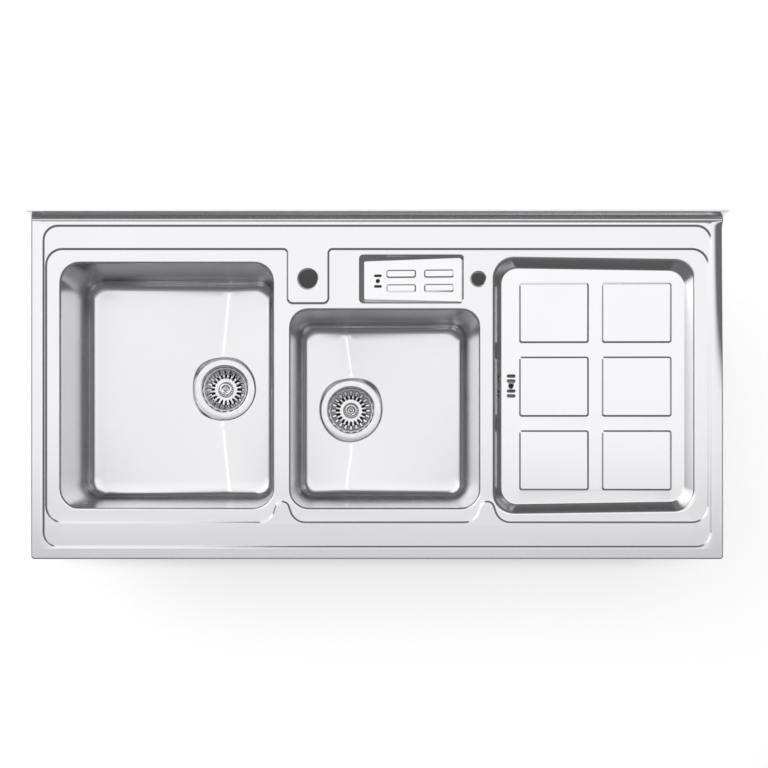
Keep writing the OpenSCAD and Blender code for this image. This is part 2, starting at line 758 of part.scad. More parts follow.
deck();
large_bowl();
small_bowl();
drainer_pan();
soap_tray();
tap_plate();
front_stiffener();
rear_stiffener();
drainer_stiffener();
large_sound_pad();
small_sound_pad();
large_strainer();
large_flange_seal();
large_lower_seal();
large_waste_body();
large_clamp_screw();
large_clamp_nut();
small_strainer();
small_flange_seal();
small_lower_seal();
small_waste_body();
small_clamp_screw();
small_clamp_nut();
large_basket();
large_basket_knob();
large_basket_stem();
large_basket_plug();
large_basket_rivet();
small_basket();
small_basket_knob();
small_basket_stem();
small_basket_plug();
small_basket_rivet();
drainer_collector();
drainer_collector_seal();
drainer_collector_screw();
tray_collector();
tray_collector_seal();
tray_collector_screw();
drainer_hose();
tray_hose();
hose_clips();
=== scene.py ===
# %% [markdown]
# # A sit-on sink of pressed stainless steel
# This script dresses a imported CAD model: a large bowl, a small bowl and a drainer with raised
# squares in one pressed deck, with a soap tray, a tap platform, basket wastes and hoses below.
# The CAD model gives every size and every moving body. Each cell below makes one piece of the
# visible model around it. Lengths are in millimetres until a mesh is made, where they become
# metres.

# %% Load the frame
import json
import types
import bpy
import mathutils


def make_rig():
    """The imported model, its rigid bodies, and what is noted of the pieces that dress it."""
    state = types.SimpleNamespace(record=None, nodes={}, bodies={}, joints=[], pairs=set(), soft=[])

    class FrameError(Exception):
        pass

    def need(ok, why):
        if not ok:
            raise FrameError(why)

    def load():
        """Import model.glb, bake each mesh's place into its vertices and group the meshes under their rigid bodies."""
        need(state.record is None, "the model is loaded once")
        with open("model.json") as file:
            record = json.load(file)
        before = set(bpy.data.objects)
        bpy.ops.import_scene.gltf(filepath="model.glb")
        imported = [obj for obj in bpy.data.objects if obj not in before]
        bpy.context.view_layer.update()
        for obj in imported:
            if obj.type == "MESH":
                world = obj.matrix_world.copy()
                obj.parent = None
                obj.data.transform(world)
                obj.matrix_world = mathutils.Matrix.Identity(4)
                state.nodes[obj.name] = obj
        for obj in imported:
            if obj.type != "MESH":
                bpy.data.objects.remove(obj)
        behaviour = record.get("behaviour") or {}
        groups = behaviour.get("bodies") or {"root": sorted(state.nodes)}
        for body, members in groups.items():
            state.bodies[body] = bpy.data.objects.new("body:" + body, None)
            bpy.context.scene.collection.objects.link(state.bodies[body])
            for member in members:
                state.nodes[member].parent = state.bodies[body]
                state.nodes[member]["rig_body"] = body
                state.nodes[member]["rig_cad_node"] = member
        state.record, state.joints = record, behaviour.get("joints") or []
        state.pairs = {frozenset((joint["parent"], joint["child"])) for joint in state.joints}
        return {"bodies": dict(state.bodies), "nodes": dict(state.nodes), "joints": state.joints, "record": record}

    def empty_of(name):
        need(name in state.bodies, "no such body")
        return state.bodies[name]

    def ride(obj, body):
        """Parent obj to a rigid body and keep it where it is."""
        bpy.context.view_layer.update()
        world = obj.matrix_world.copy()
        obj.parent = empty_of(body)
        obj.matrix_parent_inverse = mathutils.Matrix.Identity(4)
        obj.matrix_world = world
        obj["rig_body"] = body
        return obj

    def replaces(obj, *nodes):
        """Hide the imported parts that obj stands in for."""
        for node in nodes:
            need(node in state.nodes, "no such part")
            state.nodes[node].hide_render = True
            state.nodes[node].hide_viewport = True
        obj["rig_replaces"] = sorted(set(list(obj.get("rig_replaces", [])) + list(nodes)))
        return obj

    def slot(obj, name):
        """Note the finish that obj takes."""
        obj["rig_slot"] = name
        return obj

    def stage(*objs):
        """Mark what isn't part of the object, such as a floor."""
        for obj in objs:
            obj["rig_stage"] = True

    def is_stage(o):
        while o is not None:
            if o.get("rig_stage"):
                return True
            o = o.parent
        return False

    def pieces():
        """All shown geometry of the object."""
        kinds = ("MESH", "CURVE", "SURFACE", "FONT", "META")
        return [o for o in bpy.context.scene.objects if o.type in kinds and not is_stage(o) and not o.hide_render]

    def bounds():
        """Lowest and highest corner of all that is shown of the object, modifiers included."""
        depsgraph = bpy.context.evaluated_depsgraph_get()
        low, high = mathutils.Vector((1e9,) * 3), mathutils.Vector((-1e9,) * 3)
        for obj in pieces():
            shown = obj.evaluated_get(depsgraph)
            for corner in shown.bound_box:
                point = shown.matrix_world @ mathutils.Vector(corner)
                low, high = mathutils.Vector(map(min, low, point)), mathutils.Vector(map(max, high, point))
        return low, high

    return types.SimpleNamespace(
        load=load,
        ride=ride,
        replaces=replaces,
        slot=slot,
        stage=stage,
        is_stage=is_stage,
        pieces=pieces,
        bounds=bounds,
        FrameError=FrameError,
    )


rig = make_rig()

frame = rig.load()
cad_box = [list(corner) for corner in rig.bounds()]

import json
import math
import bmesh
import bpy
import numpy as np
from mathutils import Matrix, Vector, geometry

MM = 0.001
print("CAD box in metres:", [[round(v, 4) for v in corner] for corner in cad_box])

# %% [markdown]
# ## Sizes
# A pressed sink is drawn as levels and outlines. The border is the highest level; two small
# steps lead down to the wet level, which water runs over. Naming the levels once keeps every
# piece in register with its neighbours, as the press tools do.

# %% Levels, steps and centres
BORDER, STEP_LEVEL, WET = 40.0, 38.0, 36.0
SHEET = 1.0
HALF_W, HALF_D = 600.0, 300.0
RIM_R = 4.0
RIM_OUT = 2.0
TAP, TAP_R = (-120.0, 186.0), 17.5
ACCESSORY, ACCESSORY_R = (176.0, 186.0), 13.0
LARGE = dict(centre=(-365.0, 1.0), half=(186.0, 214.0), r=35.0, waste=(-284.0, 2.0), side=1,
             dents=((138.0, 5.5), (222.0, 6.0), (60.0, 2.0)))
SMALL = dict(centre=(13.5, -39.5), half=(165.5, 173.5), r=33.0, waste=(-45.0, -38.0), side=-1,
             dents=((48.0, 6.0), (132.0, 3.0), (250.0, 2.0)))
BOWL_DEPTH, FLOOR_FALL, DRAFT, BOTTOM_R = 190.0, 6.0, 10.0, 19.0
SEAT_DROP, WASTE_R = 3.0, 45.0
SEAT_Z = WET - BOWL_DEPTH - SEAT_DROP
EDGE_DEPTH = BOWL_DEPTH - FLOOR_FALL
FLOOR_EDGE = DRAFT + BOTTOM_R
print("seat height", SEAT_Z, "mm; border", BORDER, "mm above the cabinet")

# %% [markdown]
# ## Outlines with filleted corners
# Every edge of a pressing is a polygon with rounded corners. Blender could bevel a drawn
# polygon, but then the number of points would change with the radius. Working the fillets out
# by formula keeps one number of points for every offset of the same outline, so that two
# offsets can be joined by a clean strip of quads.

# %% Outline helpers
def left(v):
    return Vector((-v.y, v.x))


def bend_at(before, here, after, r, inset=0.0, steps=6):
    """The points of one rounded corner between three points, moved left by inset."""
    u, v = (here - before).normalized(), (after - here).normalized()
    turn = 1 if u.cross(v) > 0 else -1
    here = here + (left(u) + left(v)) * inset / (1 + u.dot(v))
    r = r - inset * turn if r > 0 else 0
    half = math.acos(max(-1, min(1, u.dot(v)))) / 2
    if steps == 0 or half < 0.001:
        return [here]
    r = max(r, 0.3 if inset else 0.01)
    centre = here - u * r * math.tan(half) + left(u) * r * turn
    start = math.atan2(-turn * left(u).y, -turn * left(u).x)
    return [centre + r * Vector((math.cos(a), math.sin(a))) for a in
            (start + turn * 2 * half * k / steps for k in range(steps + 1))]


def fillet(corners, inset=0.0, steps=8, cuts=None):
    """Points along a closed outline of (x, y, radius) corners, anticlockwise and moved inwards by
    inset. cuts is the number of segments on each straight run."""
    n = len(corners)
    flat = [Vector(c[:2]) for c in corners]
    arcs = [bend_at(flat[i - 1], flat[i], flat[(i + 1) % n], corners[i][2], inset, steps)
            for i in range(n)]
    points = []
    for i, arc in enumerate(arcs):
        points += arc
        if cuts:
            a, b, m = arc[-1], arcs[(i + 1) % n][0], cuts[i % len(cuts)]
            points += [a.lerp(b, k / m) for k in range(1, m)]
    return points


def bent(corners, steps=5):
    """Points along an open line of (x, y, radius) corners, such as the section of a fold."""
    flat = [Vector(c[:2]) for c in corners]
    line = [flat[0]]
    for i in range(1, len(corners) - 1):
        r = corners[i][2] if len(corners[i]) > 2 else 0
        line += bend_at(flat[i - 1], flat[i], flat[i + 1], r, 0.0, steps if r else 0)
    return line + [flat[-1]]


def box_corners(centre, half, r):
    (x, y), (w, d) = centre, half
    return [(x - w, y - d, r), (x + w, y - d, r), (x + w, y + d, r), (x - w, y + d, r)]


def circle(centre, r, n=72):
    return [Vector((centre[0] + r * math.cos(2 * math.pi * k / n),
                    centre[1] + r * math.sin(2 * math.pi * k / n))) for k in range(n)]


def press_step(t, ease=0.07):
    """0 to 1 with a straight flank between two short easings, as a sharp press tool leaves it."""
    t = max(0.0, min(1.0, t))
    steep = 1 / (1 - ease)
    if t < ease:
        return steep * t * t / (2 * ease)
    if t > 1 - ease:
        return 1 - steep * (1 - t) ** 2 / (2 * ease)
    return steep * (t - ease / 2)


def s_curve(t):
    """0 to 1 with level ends, as a sheet lies over the two radii of a press step."""
    t = max(0.0, min(1.0, t))
    return t * t * (3 - 2 * t)


# %% [markdown]
# ## Gathering a sheet
# A sheet part is drawn by its upper face alone. Walls and folds are strips of quads between two
# loops of points; flat fields are filled by constrained Delaunay triangulation, which respects
# any number of holes. When the face is complete, Solidify gives it the thickness of the sheet,
# so the underside follows by itself as it does in a press.

# %% The sheet builder
def inside(spots, points, borders):
    """Which spots lie inside the borders, by the even-odd rule."""
    a = np.array([points[i][:2] for border in borders for i in border])
    b = np.array([points[i][:2] for border in borders for i in border[1:] + border[:1]])
    x, y = spots[:, :1], spots[:, 1:]
    spans = (a[:, 1] > y) != (b[:, 1] > y)
    rise = np.where(a[:, 1] == b[:, 1], 1.0, b[:, 1] - a[:, 1])
    hits = spans & (x < a[:, 0] + (y - a[:, 1]) / rise * (b[:, 0] - a[:, 0]))
    return hits.sum(1) % 2 == 1


class Face:
    """Points and faces in millimetres, gathered loop by loop."""

    def __init__(self):
        self.points, self.faces = [], []

    def loop(self, points, z=0.0):
        """Adds points; z is one height, a function of x and y, or None if they have their own."""
        start = len(self.points)
        for p in points:
            height = p[2] if z is None else z(p[0], p[1]) if callable(z) else z
            self.points.append((p[0], p[1], height))
        return list(range(start, len(self.points)))

    def strip(self, a, b, closed=True):
        for i in range(len(a) if closed else len(a) - 1):
            j = (i + 1) % len(a)
            self.faces.append((a[i], a[j], b[j], b[i]))

    def loops(self, rings, closed=True):
        """Strips between one loop and the next; returns the first and the last."""
        made = [self.loop(points, z) for points, z in rings]
        for a, b in zip(made, made[1:]):
            self.strip(a, b, closed)
        return made[0], made[-1]

    def fill(self, borders, inner=(), z=None, lines=()):
        """Fills the even-odd region of the border loops; inner points get their height from z,
        lines are chains of inner points that stay edges."""
        ids = [i for border in borders for i in border]
        flat = [Vector(self.points[i][:2]) for i in ids]
        edges, at = [], 0
        for border in borders:
            edges += [(at + k, at + (k + 1) % len(border)) for k in range(len(border))]
            at += len(border)
        ids += self.loop(inner, z) if inner else []
        flat += [Vector(p[:2]) for p in inner]
        for chain in lines:
            edges += [(len(flat) + k, len(flat) + k + 1) for k in range(len(chain) - 1)]
            ids += self.loop(chain, z)
            flat += [Vector(p[:2]) for p in chain]
        verts, _, faces, origin, _, _ = geometry.delaunay_2d_cdt(flat, edges, [], 1, 1e-5, True)
        index = [ids[source[0]] for source in origin]
        at = np.array([v[:] for v in verts])
        self.faces += [tuple(index[i] for i in f) for f, wanted in
                       zip(faces, inside(at[np.array(faces)].mean(1), self.points, borders))
                       if wanted]

    def mesh(self, name, up=True, merge=0.002):
        """One mesh in metres with doubles merged and the faces turned to one side."""
        data = bpy.data.meshes.new(name)
        data.from_pydata([[c * MM for c in p] for p in self.points], [], self.faces)
        bm = bmesh.new()
        bm.from_mesh(data)
        bmesh.ops.remove_doubles(bm, verts=bm.verts, dist=merge * MM)
        loose = [v for v in bm.verts if not v.link_faces]
        bmesh.ops.delete(bm, geom=loose, context="VERTS")
        bmesh.ops.recalc_face_normals(bm, faces=bm.faces)
        tally = sum(f.normal.z * f.calc_area() for f in bm.faces)
        if up is not None and (tally > 0) != up:
            bmesh.ops.reverse_faces(bm, faces=bm.faces)
        bm.to_mesh(data)
        bm.free()
        return data


def piece(name, data, body="root", node=(), slot=None, material=None, smooth=35.0):
    """Links a mesh as a piece of the sink: it rides on a body and stands for CAD nodes."""
    data.name = name
    obj = bpy.data.objects.new(name, data)
    bpy.context.scene.collection.objects.link(obj)
    if smooth:
        data.shade_smooth()
        data.set_sharp_from_angle(angle=math.radians(smooth))
    if material:
        data.materials.clear()
        data.materials.append(material)
    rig.ride(obj, body)
    if node:
        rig.replaces(obj, *([node] if isinstance(node, str) else node))
    if slot:
        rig.slot(obj, slot)
    return obj


def thicken(obj, sheet=SHEET, weigh=True, back=None):
    """Gives a face its thickness below, then lets the flat fields rule the shading; back is the
    finish of the side that was not polished."""
    solid = obj.modifiers.new("Sheet thickness", "SOLIDIFY")
    solid.thickness, solid.offset, solid.use_even_offset = sheet * MM, -1.0, True
    solid.use_quality_normals = True
    if back:
        obj.data.materials.append(back)
        solid.material_offset = 1
    if weigh:
        weighted = obj.modifiers.new("Flats rule the shading", "WEIGHTED_NORMAL")
        weighted.keep_sharp = True
    return obj


# %% [markdown]
# ## Shader maths
# A material is a graph of nodes. Written as Python expressions it reads like the formula it is:
# a small class wraps one socket, and each operator adds a Math node. Every other node comes from
# one method that takes its type, its settings and the values or links of its sockets.

# %% A recipe for materials
class Value:
    """One number of a material, which varies over the surface."""

    def __init__(self, recipe, socket):
        self.recipe, self.socket = recipe, socket

    def _sum(self, kind, *terms):
        return self.recipe.node("ShaderNodeMath", {"operation": kind}, dict(enumerate(terms)))

    def __add__(self, other): return self._sum("ADD", self, other)
    def __radd__(self, other): return self._sum("ADD", other, self)
    def __sub__(self, other): return self._sum("SUBTRACT", self, other)
    def __rsub__(self, other): return self._sum("SUBTRACT", other, self)
    def __mul__(self, other): return self._sum("MULTIPLY", self, other)
    def __rmul__(self, other): return self._sum("MULTIPLY", other, self)
    def __truediv__(self, other): return self._sum("DIVIDE", self, other)

    def within(self, low, high, to_low=0.0, to_high=1.0):
        """The value's range low to high, stretched to another range and held inside it."""
        return self.recipe.node("ShaderNodeMapRange", {"clamp": True}, {
            0: self, 1: low, 2: high, 3: to_low, 4: to_high})


class Graph:
    """A tree of nodes: of a material, of the world or of a shape."""

    def __init__(self, tree):
        self.tree = tree

    def node(self, kind, settings=None, sockets=None, out=0):
        made = self.tree.nodes.new(kind)
        for key, value in (settings or {}).items():
            if key == "stops":
                ramp = made.color_ramp.elements
                while len(ramp) < len(value):
                    ramp.new(0.5)
                for stop, (at, colour) in zip(ramp, value):
                    stop.position, stop.color = at, (*colour, 1)
            else:
                setattr(made, key, value)
        for key, value in (sockets or {}).items():
            if isinstance(value, Value):
                self.tree.links.new(value.socket, made.inputs[key])
            else:
                made.inputs[key].default_value = value
        return Value(self, made.outputs[out])

    def split(self, vector):
        """The x, y and z of a vector."""
        outputs = self.node("ShaderNodeSeparateXYZ", sockets={0: vector}).socket.node.outputs
        return [Value(self, socket) for socket in outputs]

    def length(self, x, y):
        return self.node("ShaderNodeMath", {"operation": "SQRT"}, {0: x * x + y * y})

    def blend(self, share, a, b):
        """A colour between a and b."""
        return self.node("ShaderNodeMix", {"data_type": "RGBA"}, {0: share, 6: a, 7: b}, out=2)


class Recipe(Graph):
    """A material in the making, with a Principled shader at its end."""

    def __init__(self, name, **constants):
        self.material = bpy.data.materials.new(name)
        self.material.use_nodes = True
        super().__init__(self.material.node_tree)
        self.shader = next(n for n in self.tree.nodes if n.type == "BSDF_PRINCIPLED")
        for socket, value in constants.items():
            self.shader.inputs[socket.replace("_", " ")].default_value = value

    def place(self, scale=(1, 1, 1), at=(0, 0, 0)):
        """Object coordinates, moved and stretched."""
        spot = self.node("ShaderNodeTexCoord", out="Object")
        return self.node("ShaderNodeMapping", sockets={
            "Vector": spot, "Location": at, "Scale": scale})

    def noise(self, where, scale, detail=2.0, roughness=0.5):
        return self.node("ShaderNodeTexNoise", sockets={
            "Vector": where, "Scale": scale, "Detail": detail, "Roughness": roughness})

    def bump(self, height, depth):
        return self.node("ShaderNodeBump", sockets={
            "Height": height, "Distance": depth, "Strength": 1.0})

    def feed(self, **links):
        for socket, value in links.items():
            self.tree.links.new(value.socket, self.shader.inputs[socket.replace("_", " ")])
        return self.material


# %% [markdown]
# ## Brushed stainless steel
# The sheet has a satin finish: very fine scratches in one direction, which blur reflections. The
# scratches are noise stretched a hundred times along the grain; they move the roughness and a
# bump of a few hundredths of a millimetre. A slow noise on top stands for polishing marks.

# %% Steel materials
def brushed(name, base, roughness, grain, depth=0.00002, spread=0.05, cloud=9.0, bright=None):
    """Satin steel; grain is the scale of the noise along x, y and z; bright names the attribute
    that holds where a highlight is painted: there the colour is whitened and the roughness lowered."""
    steel = Recipe(name, Metallic=1.0)
    scratches = steel.noise(steel.place(grain), 1.0, detail=3.0, roughness=0.65)
    fine = steel.noise(steel.place([g * 3.1 for g in grain], at=(3, 1, 2)), 1.0, detail=1.0)
    marks = steel.noise(steel.place(), cloud, detail=3.0, roughness=0.6)
    rough = roughness + (scratches - 0.5) * spread + (marks - 0.5) * spread * 1.6
    tint = steel.blend(marks.within(0.3, 0.7), [c * 0.985 for c in base] + [1],
                       [min(c * 1.012, 1) for c in base] + [1])
    relief = steel.bump(scratches * 0.7 + fine * 0.3, depth)
    # Painted highlight: where the attribute is set, the colour is blended towards white and the metal is made
    # glossier.
    if bright:
        painted_highlight = steel.node("ShaderNodeAttribute", {"attribute_name": bright}, out="Fac")
        tint = steel.blend(painted_highlight, tint, (1, 1, 1, 1))
        rough = rough - painted_highlight * 0.06
    return steel.feed(Base_Color=tint, Roughness=rough, Normal=relief)


STEEL = (0.83, 0.83, 0.84)
deck_steel = brushed("Deck steel", STEEL, 0.17, (14, 900, 900), 0.00001, 0.04)
bowl_steel = brushed("Bowl steel", STEEL, 0.20, (60, 60, 900), spread=0.04, bright="burnish")
pan_steel = brushed("Drainer steel", (0.87, 0.87, 0.88), 0.16, (900, 14, 900), spread=0.04)
raw_steel = brushed("Unpolished back", (0.46, 0.46, 0.47), 0.42, (90, 90, 90), 0.00004, 0.14, 16)
print("materials:", [m.name for m in bpy.data.materials])

# %% [markdown]
# ## The deck
# The deck is one sheet pressed in two small steps, with the skirt, the return lip and the
# upstand folded from its edges. Its outlines are worked out first: the first step is a rounded
# rectangle; the second runs beside it, swings in a hump between the compartments and goes round
# the tap platform.

# %% Outlines of the press lines
def hump(x):
    foot, top = (x - 20.4, x + 20.4), (x - 8.8, x + 8.8)
    return [(foot[0], -236.0, 27.0), (top[0], -200.0, 12.0),
            (top[1], -200.0, 12.0), (foot[1], -236.0, 27.0)]


LINE_1 = box_corners((0, 0), (578.0, 278.0), 25.0)
LINE_2 = [(-574.0, -236.0, 28.0), *hump(-164.5), *hump(191.0), (574.0, -236.0, 28.0),
          (574.0, 238.0, 28.0), (-84.5, 238.0, 7.0), (-84.5, 144.0, 9.0),
          (-155.5, 144.0, 9.0), (-155.5, 238.0, 7.0), (-574.0, 238.0, 28.0)]
DRAINER = [(201.0, -222.5, 36.0), (553.0, -217.8, 36.0), (553.0, 219.8, 36.0),
           (201.0, 224.5, 36.0)]
TRAY = box_corners((60.0, 186.0), (91.0, 42.0), 7.0)


def eased(corners, inset, keep=0.55):
    """Corners whose radius shrinks by less than the inset, as drawn metal keeps its corners."""
    return [(x, y, r + keep * inset) for x, y, r in corners]


def rim_section(last, radius=RIM_R, out=RIM_OUT, steps=7):
    """Section of a rolled rim as (inset, drop), turned down to the angle last in degrees."""
    angles = [math.radians(last) * k / steps for k in range(steps + 1)]
    return [(radius * math.sin(a) - out, radius * (1 - math.cos(a))) for a in angles]


RIM_TURN = dict(bowl=86.5, pan=50.0)
PAN_RIM = {"drainer": (7.5, 2.0), "tray": (4.0, 1.5)}
print("second press line has", len(fillet(LINE_2)), "points")

# %% [markdown]
# Each step is a short flank of about four millimetres, laid as eleven offsets of the same
# outline. The rims of the bowls are rolled over a four millimetre radius, those of the drainer
# and the tray over their own. The bowls and pans are welded on below, so the deck ends where
# the roll has turned down.

# %% Deck sheet: fields, steps and rims
deck = Face()
STEP_WIDTH = 3.9
DROOP_FROM, DROOP_WIDTH = 581.0, 19.0
REAR_BEND = 286.0


def step_down(corners, z_top, z_low, steps=10):
    """A press step; returns its outer and its inner loop."""
    return deck.loops([(fillet(corners, STEP_WIDTH * (k / steps - 0.5)),
                        z_top + (z_low - z_top) * press_step(k / steps))
                       for k in range(steps + 1)])


def droop(x, y):
    """How far the right border bends down towards its rear end, where the sheet was pulled."""
    wide = max(0.0, (x - DROOP_FROM) / DROOP_WIDTH)
    along = 0.3 * s_curve((y + 250) / 60) + 4.9 * s_curve((y + 60) / 330)
    return along * wide * wide * s_curve((REAR_BEND - y) / 9.0)


def skirt_path(inset):
    """Open line along the left side, the front and the right side of the deck."""
    tall = [(-HALF_W, -HALF_D, 6.0), (HALF_W, -HALF_D, 6.0), (HALF_W, 900.0, 1.0),
            (-HALF_W, 900.0, 1.0)]
    front = fillet(tall, inset)[:18]
    right = [Vector((HALF_W - inset, y)) for y in (*range(-280, 270, 22), 272.0, 277.0, 280.0,
                                                   283.0, REAR_BEND)]
    return [Vector((-HALF_W + inset, REAR_BEND)), *front, *right]


SKIRT_R, LIP_R, RETURN_LIP = 2.5, 2.0, 20.0
skirt_section = bent([(4, BORDER), (0, BORDER, SKIRT_R), (0, 0, LIP_R), (RETURN_LIP, 0)])[1:]
border_rings = [(skirt_path(inset), lambda x, y: BORDER - droop(x, y))
                for inset in (18.5, 16, 13.5, 11, 8.5, 6.5, 4.5, 3.2)]
fold_rings = [(skirt_path(p.x), lambda x, y, z=p.y: z - droop(x, y) * s_curve(z / 30))
              for p in skirt_section]
skirt_top, _ = deck.loops(border_rings + fold_rings, closed=False)
line1_out, line1_in = step_down(LINE_1, BORDER, STEP_LEVEL)
line2_out, line2_in = step_down(LINE_2, STEP_LEVEL, WET)


def round_hole(centre, r, z):
    """A punched hole with its edge eased; returns its widest loop."""
    lip = rim_section(84.0, 3.2, 0.0, 9)
    return deck.loops([(circle(centre, r + 2.0 - p), z - drop) for p, drop in lip])[0]


def rim(corners, last, radius=RIM_R, out=RIM_OUT):
    """A rolled rim; returns its outer loop."""
    return deck.loops([(fillet(eased(corners, p), p), WET - drop)
                       for p, drop in rim_section(last, radius, out)])[0]


rims = [rim(box_corners(b["centre"], b["half"], b["r"]), RIM_TURN["bowl"])
        for b in (LARGE, SMALL)]
rims += [rim(DRAINER, RIM_TURN["pan"], *PAN_RIM["drainer"]),
         rim(TRAY, RIM_TURN["pan"], *PAN_RIM["tray"])]
deck.fill([skirt_top, line1_out])
deck.fill([line1_in, line2_out, round_hole(TAP, TAP_R, STEP_LEVEL)])
deck.fill([line2_in, round_hole(ACCESSORY, ACCESSORY_R, WET), *rims])
print("deck so far:", len(deck.points), "points")

# %% [markdown]
# The upstand is the rear edge of the same sheet: a leaning leaf, a narrow top and an upright
# back that carries on down as the rear skirt. Its section is drawn once and swept across; the
# ends are closed by plates whose edges are rounded into it.

# %% Deck sheet: upstand and rear skirt
UPSTAND_TOP, TOP_WIDTH, FOOT_WIDTH, END_R = 69.99, 3, 8, 1.0
upstand = bent([(REAR_BEND, BORDER), (HALF_D - FOOT_WIDTH, BORDER, 4),
                (HALF_D - TOP_WIDTH, UPSTAND_TOP, 0.9), (HALF_D, UPSTAND_TOP, 0.9),
                (HALF_D, 0, LIP_R), (HALF_D - RETURN_LIP, 0)])
back_end = next(i for i, p in enumerate(upstand) if p.y < 2.5 and p.x > HALF_D - 1) + 1
edge_r = [SKIRT_R if p.y < BORDER + 0.01 else
          max(END_R, SKIRT_R - (p.y - BORDER) * 0.4) if p.x < HALF_D - 4 else END_R
          for p in upstand]


def upstand_line(side):
    """The section at one end, with its points past the rear bend ending at the lip's mitre."""
    line = []
    for i, p in enumerate(upstand):
        x = HALF_W - (edge_r[i] if i < back_end else RETURN_LIP)
        line.append((side * x, p.x, p.y))
    return line


ends = [deck.loop(upstand_line(side), None) for side in (-1, 1)]
deck.strip(ends[0], ends[1], closed=False)
for side, first in zip((-1, 1), ends):
    rings, edge = [first[:back_end]], upstand[:back_end]
    for k in range(1, 6):
        a = math.pi / 2 * k / 5
        ring = []
        for i, p in enumerate(edge):
            ahead, behind = edge[min(i + 1, back_end - 1)], edge[max(i - 1, 0)]
            inward = -left((ahead - behind).normalized()) * edge_r[i] * (1 - math.cos(a))
            x = HALF_W - edge_r[i] * (1 - math.sin(a))
            q = p + inward
            ring.append((side * x, REAR_BEND if i == 0 else q.x, q.y))
        rings.append(deck.loop(ring, None))
    for a, b in zip(rings, rings[1:]):
        deck.strip(a, b, closed=False)
    foot = deck.loop([(side * HALF_W, REAR_BEND, LIP_R)], None)
    deck.faces.append(tuple(rings[-1] + foot))

deck_piece = piece("pressed_deck", deck.mesh("pressed_deck"), node="deck", slot="deck_steel",
                   material=deck_steel)
thicken(deck_piece, back=raw_steel)
print("deck:", len(deck_piece.data.polygons), "faces")


# %% [markdown]
# ## The bowls
# A deep-drawn bowl has walls with a few degrees of draft, a generous radius at the bottom and a
# floor that falls to the waste. The floor is a height field: two planes that meet in a crease
# through the waste, with a pressed seat for the flange. Loops of points carry the walls down,
# and the triangulated floor reads its heights from one function.

# %% The shape of a bowl floor
CREASE_LEAN, CREASE_START = 19.0, 10.0
GROOVE_DEPTH, GROOVE_WIDTH = 0.45, 2.4
SEAT_REACH, SEAT_FLAT, DENT_SPREAD = 59.6, 57.0, 26.0


def crease_at(bowl, t):
    """The crease's x, where t is 0 beside the waste and 1 at a wall."""
    return bowl["waste"][0] + bowl["side"] * (CREASE_LEAN * t - CREASE_START)


def floor_drop(bowl, x, y):
    """How far the floor lies below its edge at x, y."""
    cx, (w, d), yd = bowl["centre"][0], bowl["half"], bowl["waste"][1]
    t = min(abs(y - yd) / (d - FLOOR_EDGE), 1.0)
    crease = crease_at(bowl, t)
    x0, x1 = cx - w + FLOOR_EDGE, cx + w - FLOOR_EDGE
    u = (x - x0) / (crease - x0) if x < crease else (x1 - x) / (x1 - crease)
    u = max(0.0, min(1.0, u))
    groove = (GROOVE_DEPTH * math.exp(-((x - crease) / GROOVE_WIDTH) ** 2)
              * s_curve((1.0 - t) * 9 + 0.35))
    return FLOOR_FALL * u * (0.35 + 0.65 * (1 - t * t)) + groove


def floor_height(bowl, x, y):
    """Height of the floor with its seat, which the three dents make uneven."""
    xd, yd = bowl["waste"]
    r = math.hypot(x - xd, y - yd)
    turn = math.degrees(math.atan2(y - yd, x - xd)) % 360
    reach = SEAT_REACH + sum(size * math.exp(-((turn - at) / DENT_SPREAD) ** 2)
                             for at, size in bowl["dents"])
    seat = press_step((reach - r) / (reach - SEAT_FLAT), 0.3)
    sheet = WET - EDGE_DEPTH - floor_drop(bowl, x, y)
    return sheet + (SEAT_Z - sheet) * seat


def crease_lines(bowl):
    """Chains of points beside the crease, from the walls to the seat."""
    cy, yd, deep = bowl["centre"][1], bowl["waste"][1], bowl["half"][1] - FLOOR_EDGE
    far, near = 0.984, 73 / deep
    shares = [far - (k / 24) * (far - near) for k in range(25)]
    return [[(crease_at(bowl, t) + offset, yd + away * t * (cy + away * deep - yd) * away)
             for t in shares]
            for away in (-1, 1) for offset in (-6, -4.2, -2.8, -1.4, 0, 1.4, 2.8, 4.2, 6)]


# %% The bowls' walls and floors
def floor_grid(bowl, lines, step, margin, count_margin, clear, corner, round_off):
    """Points spread over a floor, away from its corners, its waste and its crease lines."""
    (cx, cy), (xd, yd) = bowl["centre"], bowl["waste"]
    w, d = (half - FLOOR_EDGE for half in bowl["half"])
    near = np.array([p for chain in lines for p in chain])
    nx, ny = int(2 * (w - count_margin) / step), int(2 * (d - count_margin) / step)
    spots = [(cx + (i / nx * 2 - 1) * (w - margin), cy + (j / ny * 2 - 1) * (d - margin))
             for i in range(nx + 1) for j in range(ny + 1)]
    return [(x, y) for x, y in spots
            if math.hypot(x - xd, y - yd) > clear
            and math.hypot(max(abs(x - cx) - (w - corner), 0),
                           max(abs(y - cy) - (d - corner), 0)) < round_off
            and np.min(np.hypot(near[:, 0] - x, near[:, 1] - y)) > 5]


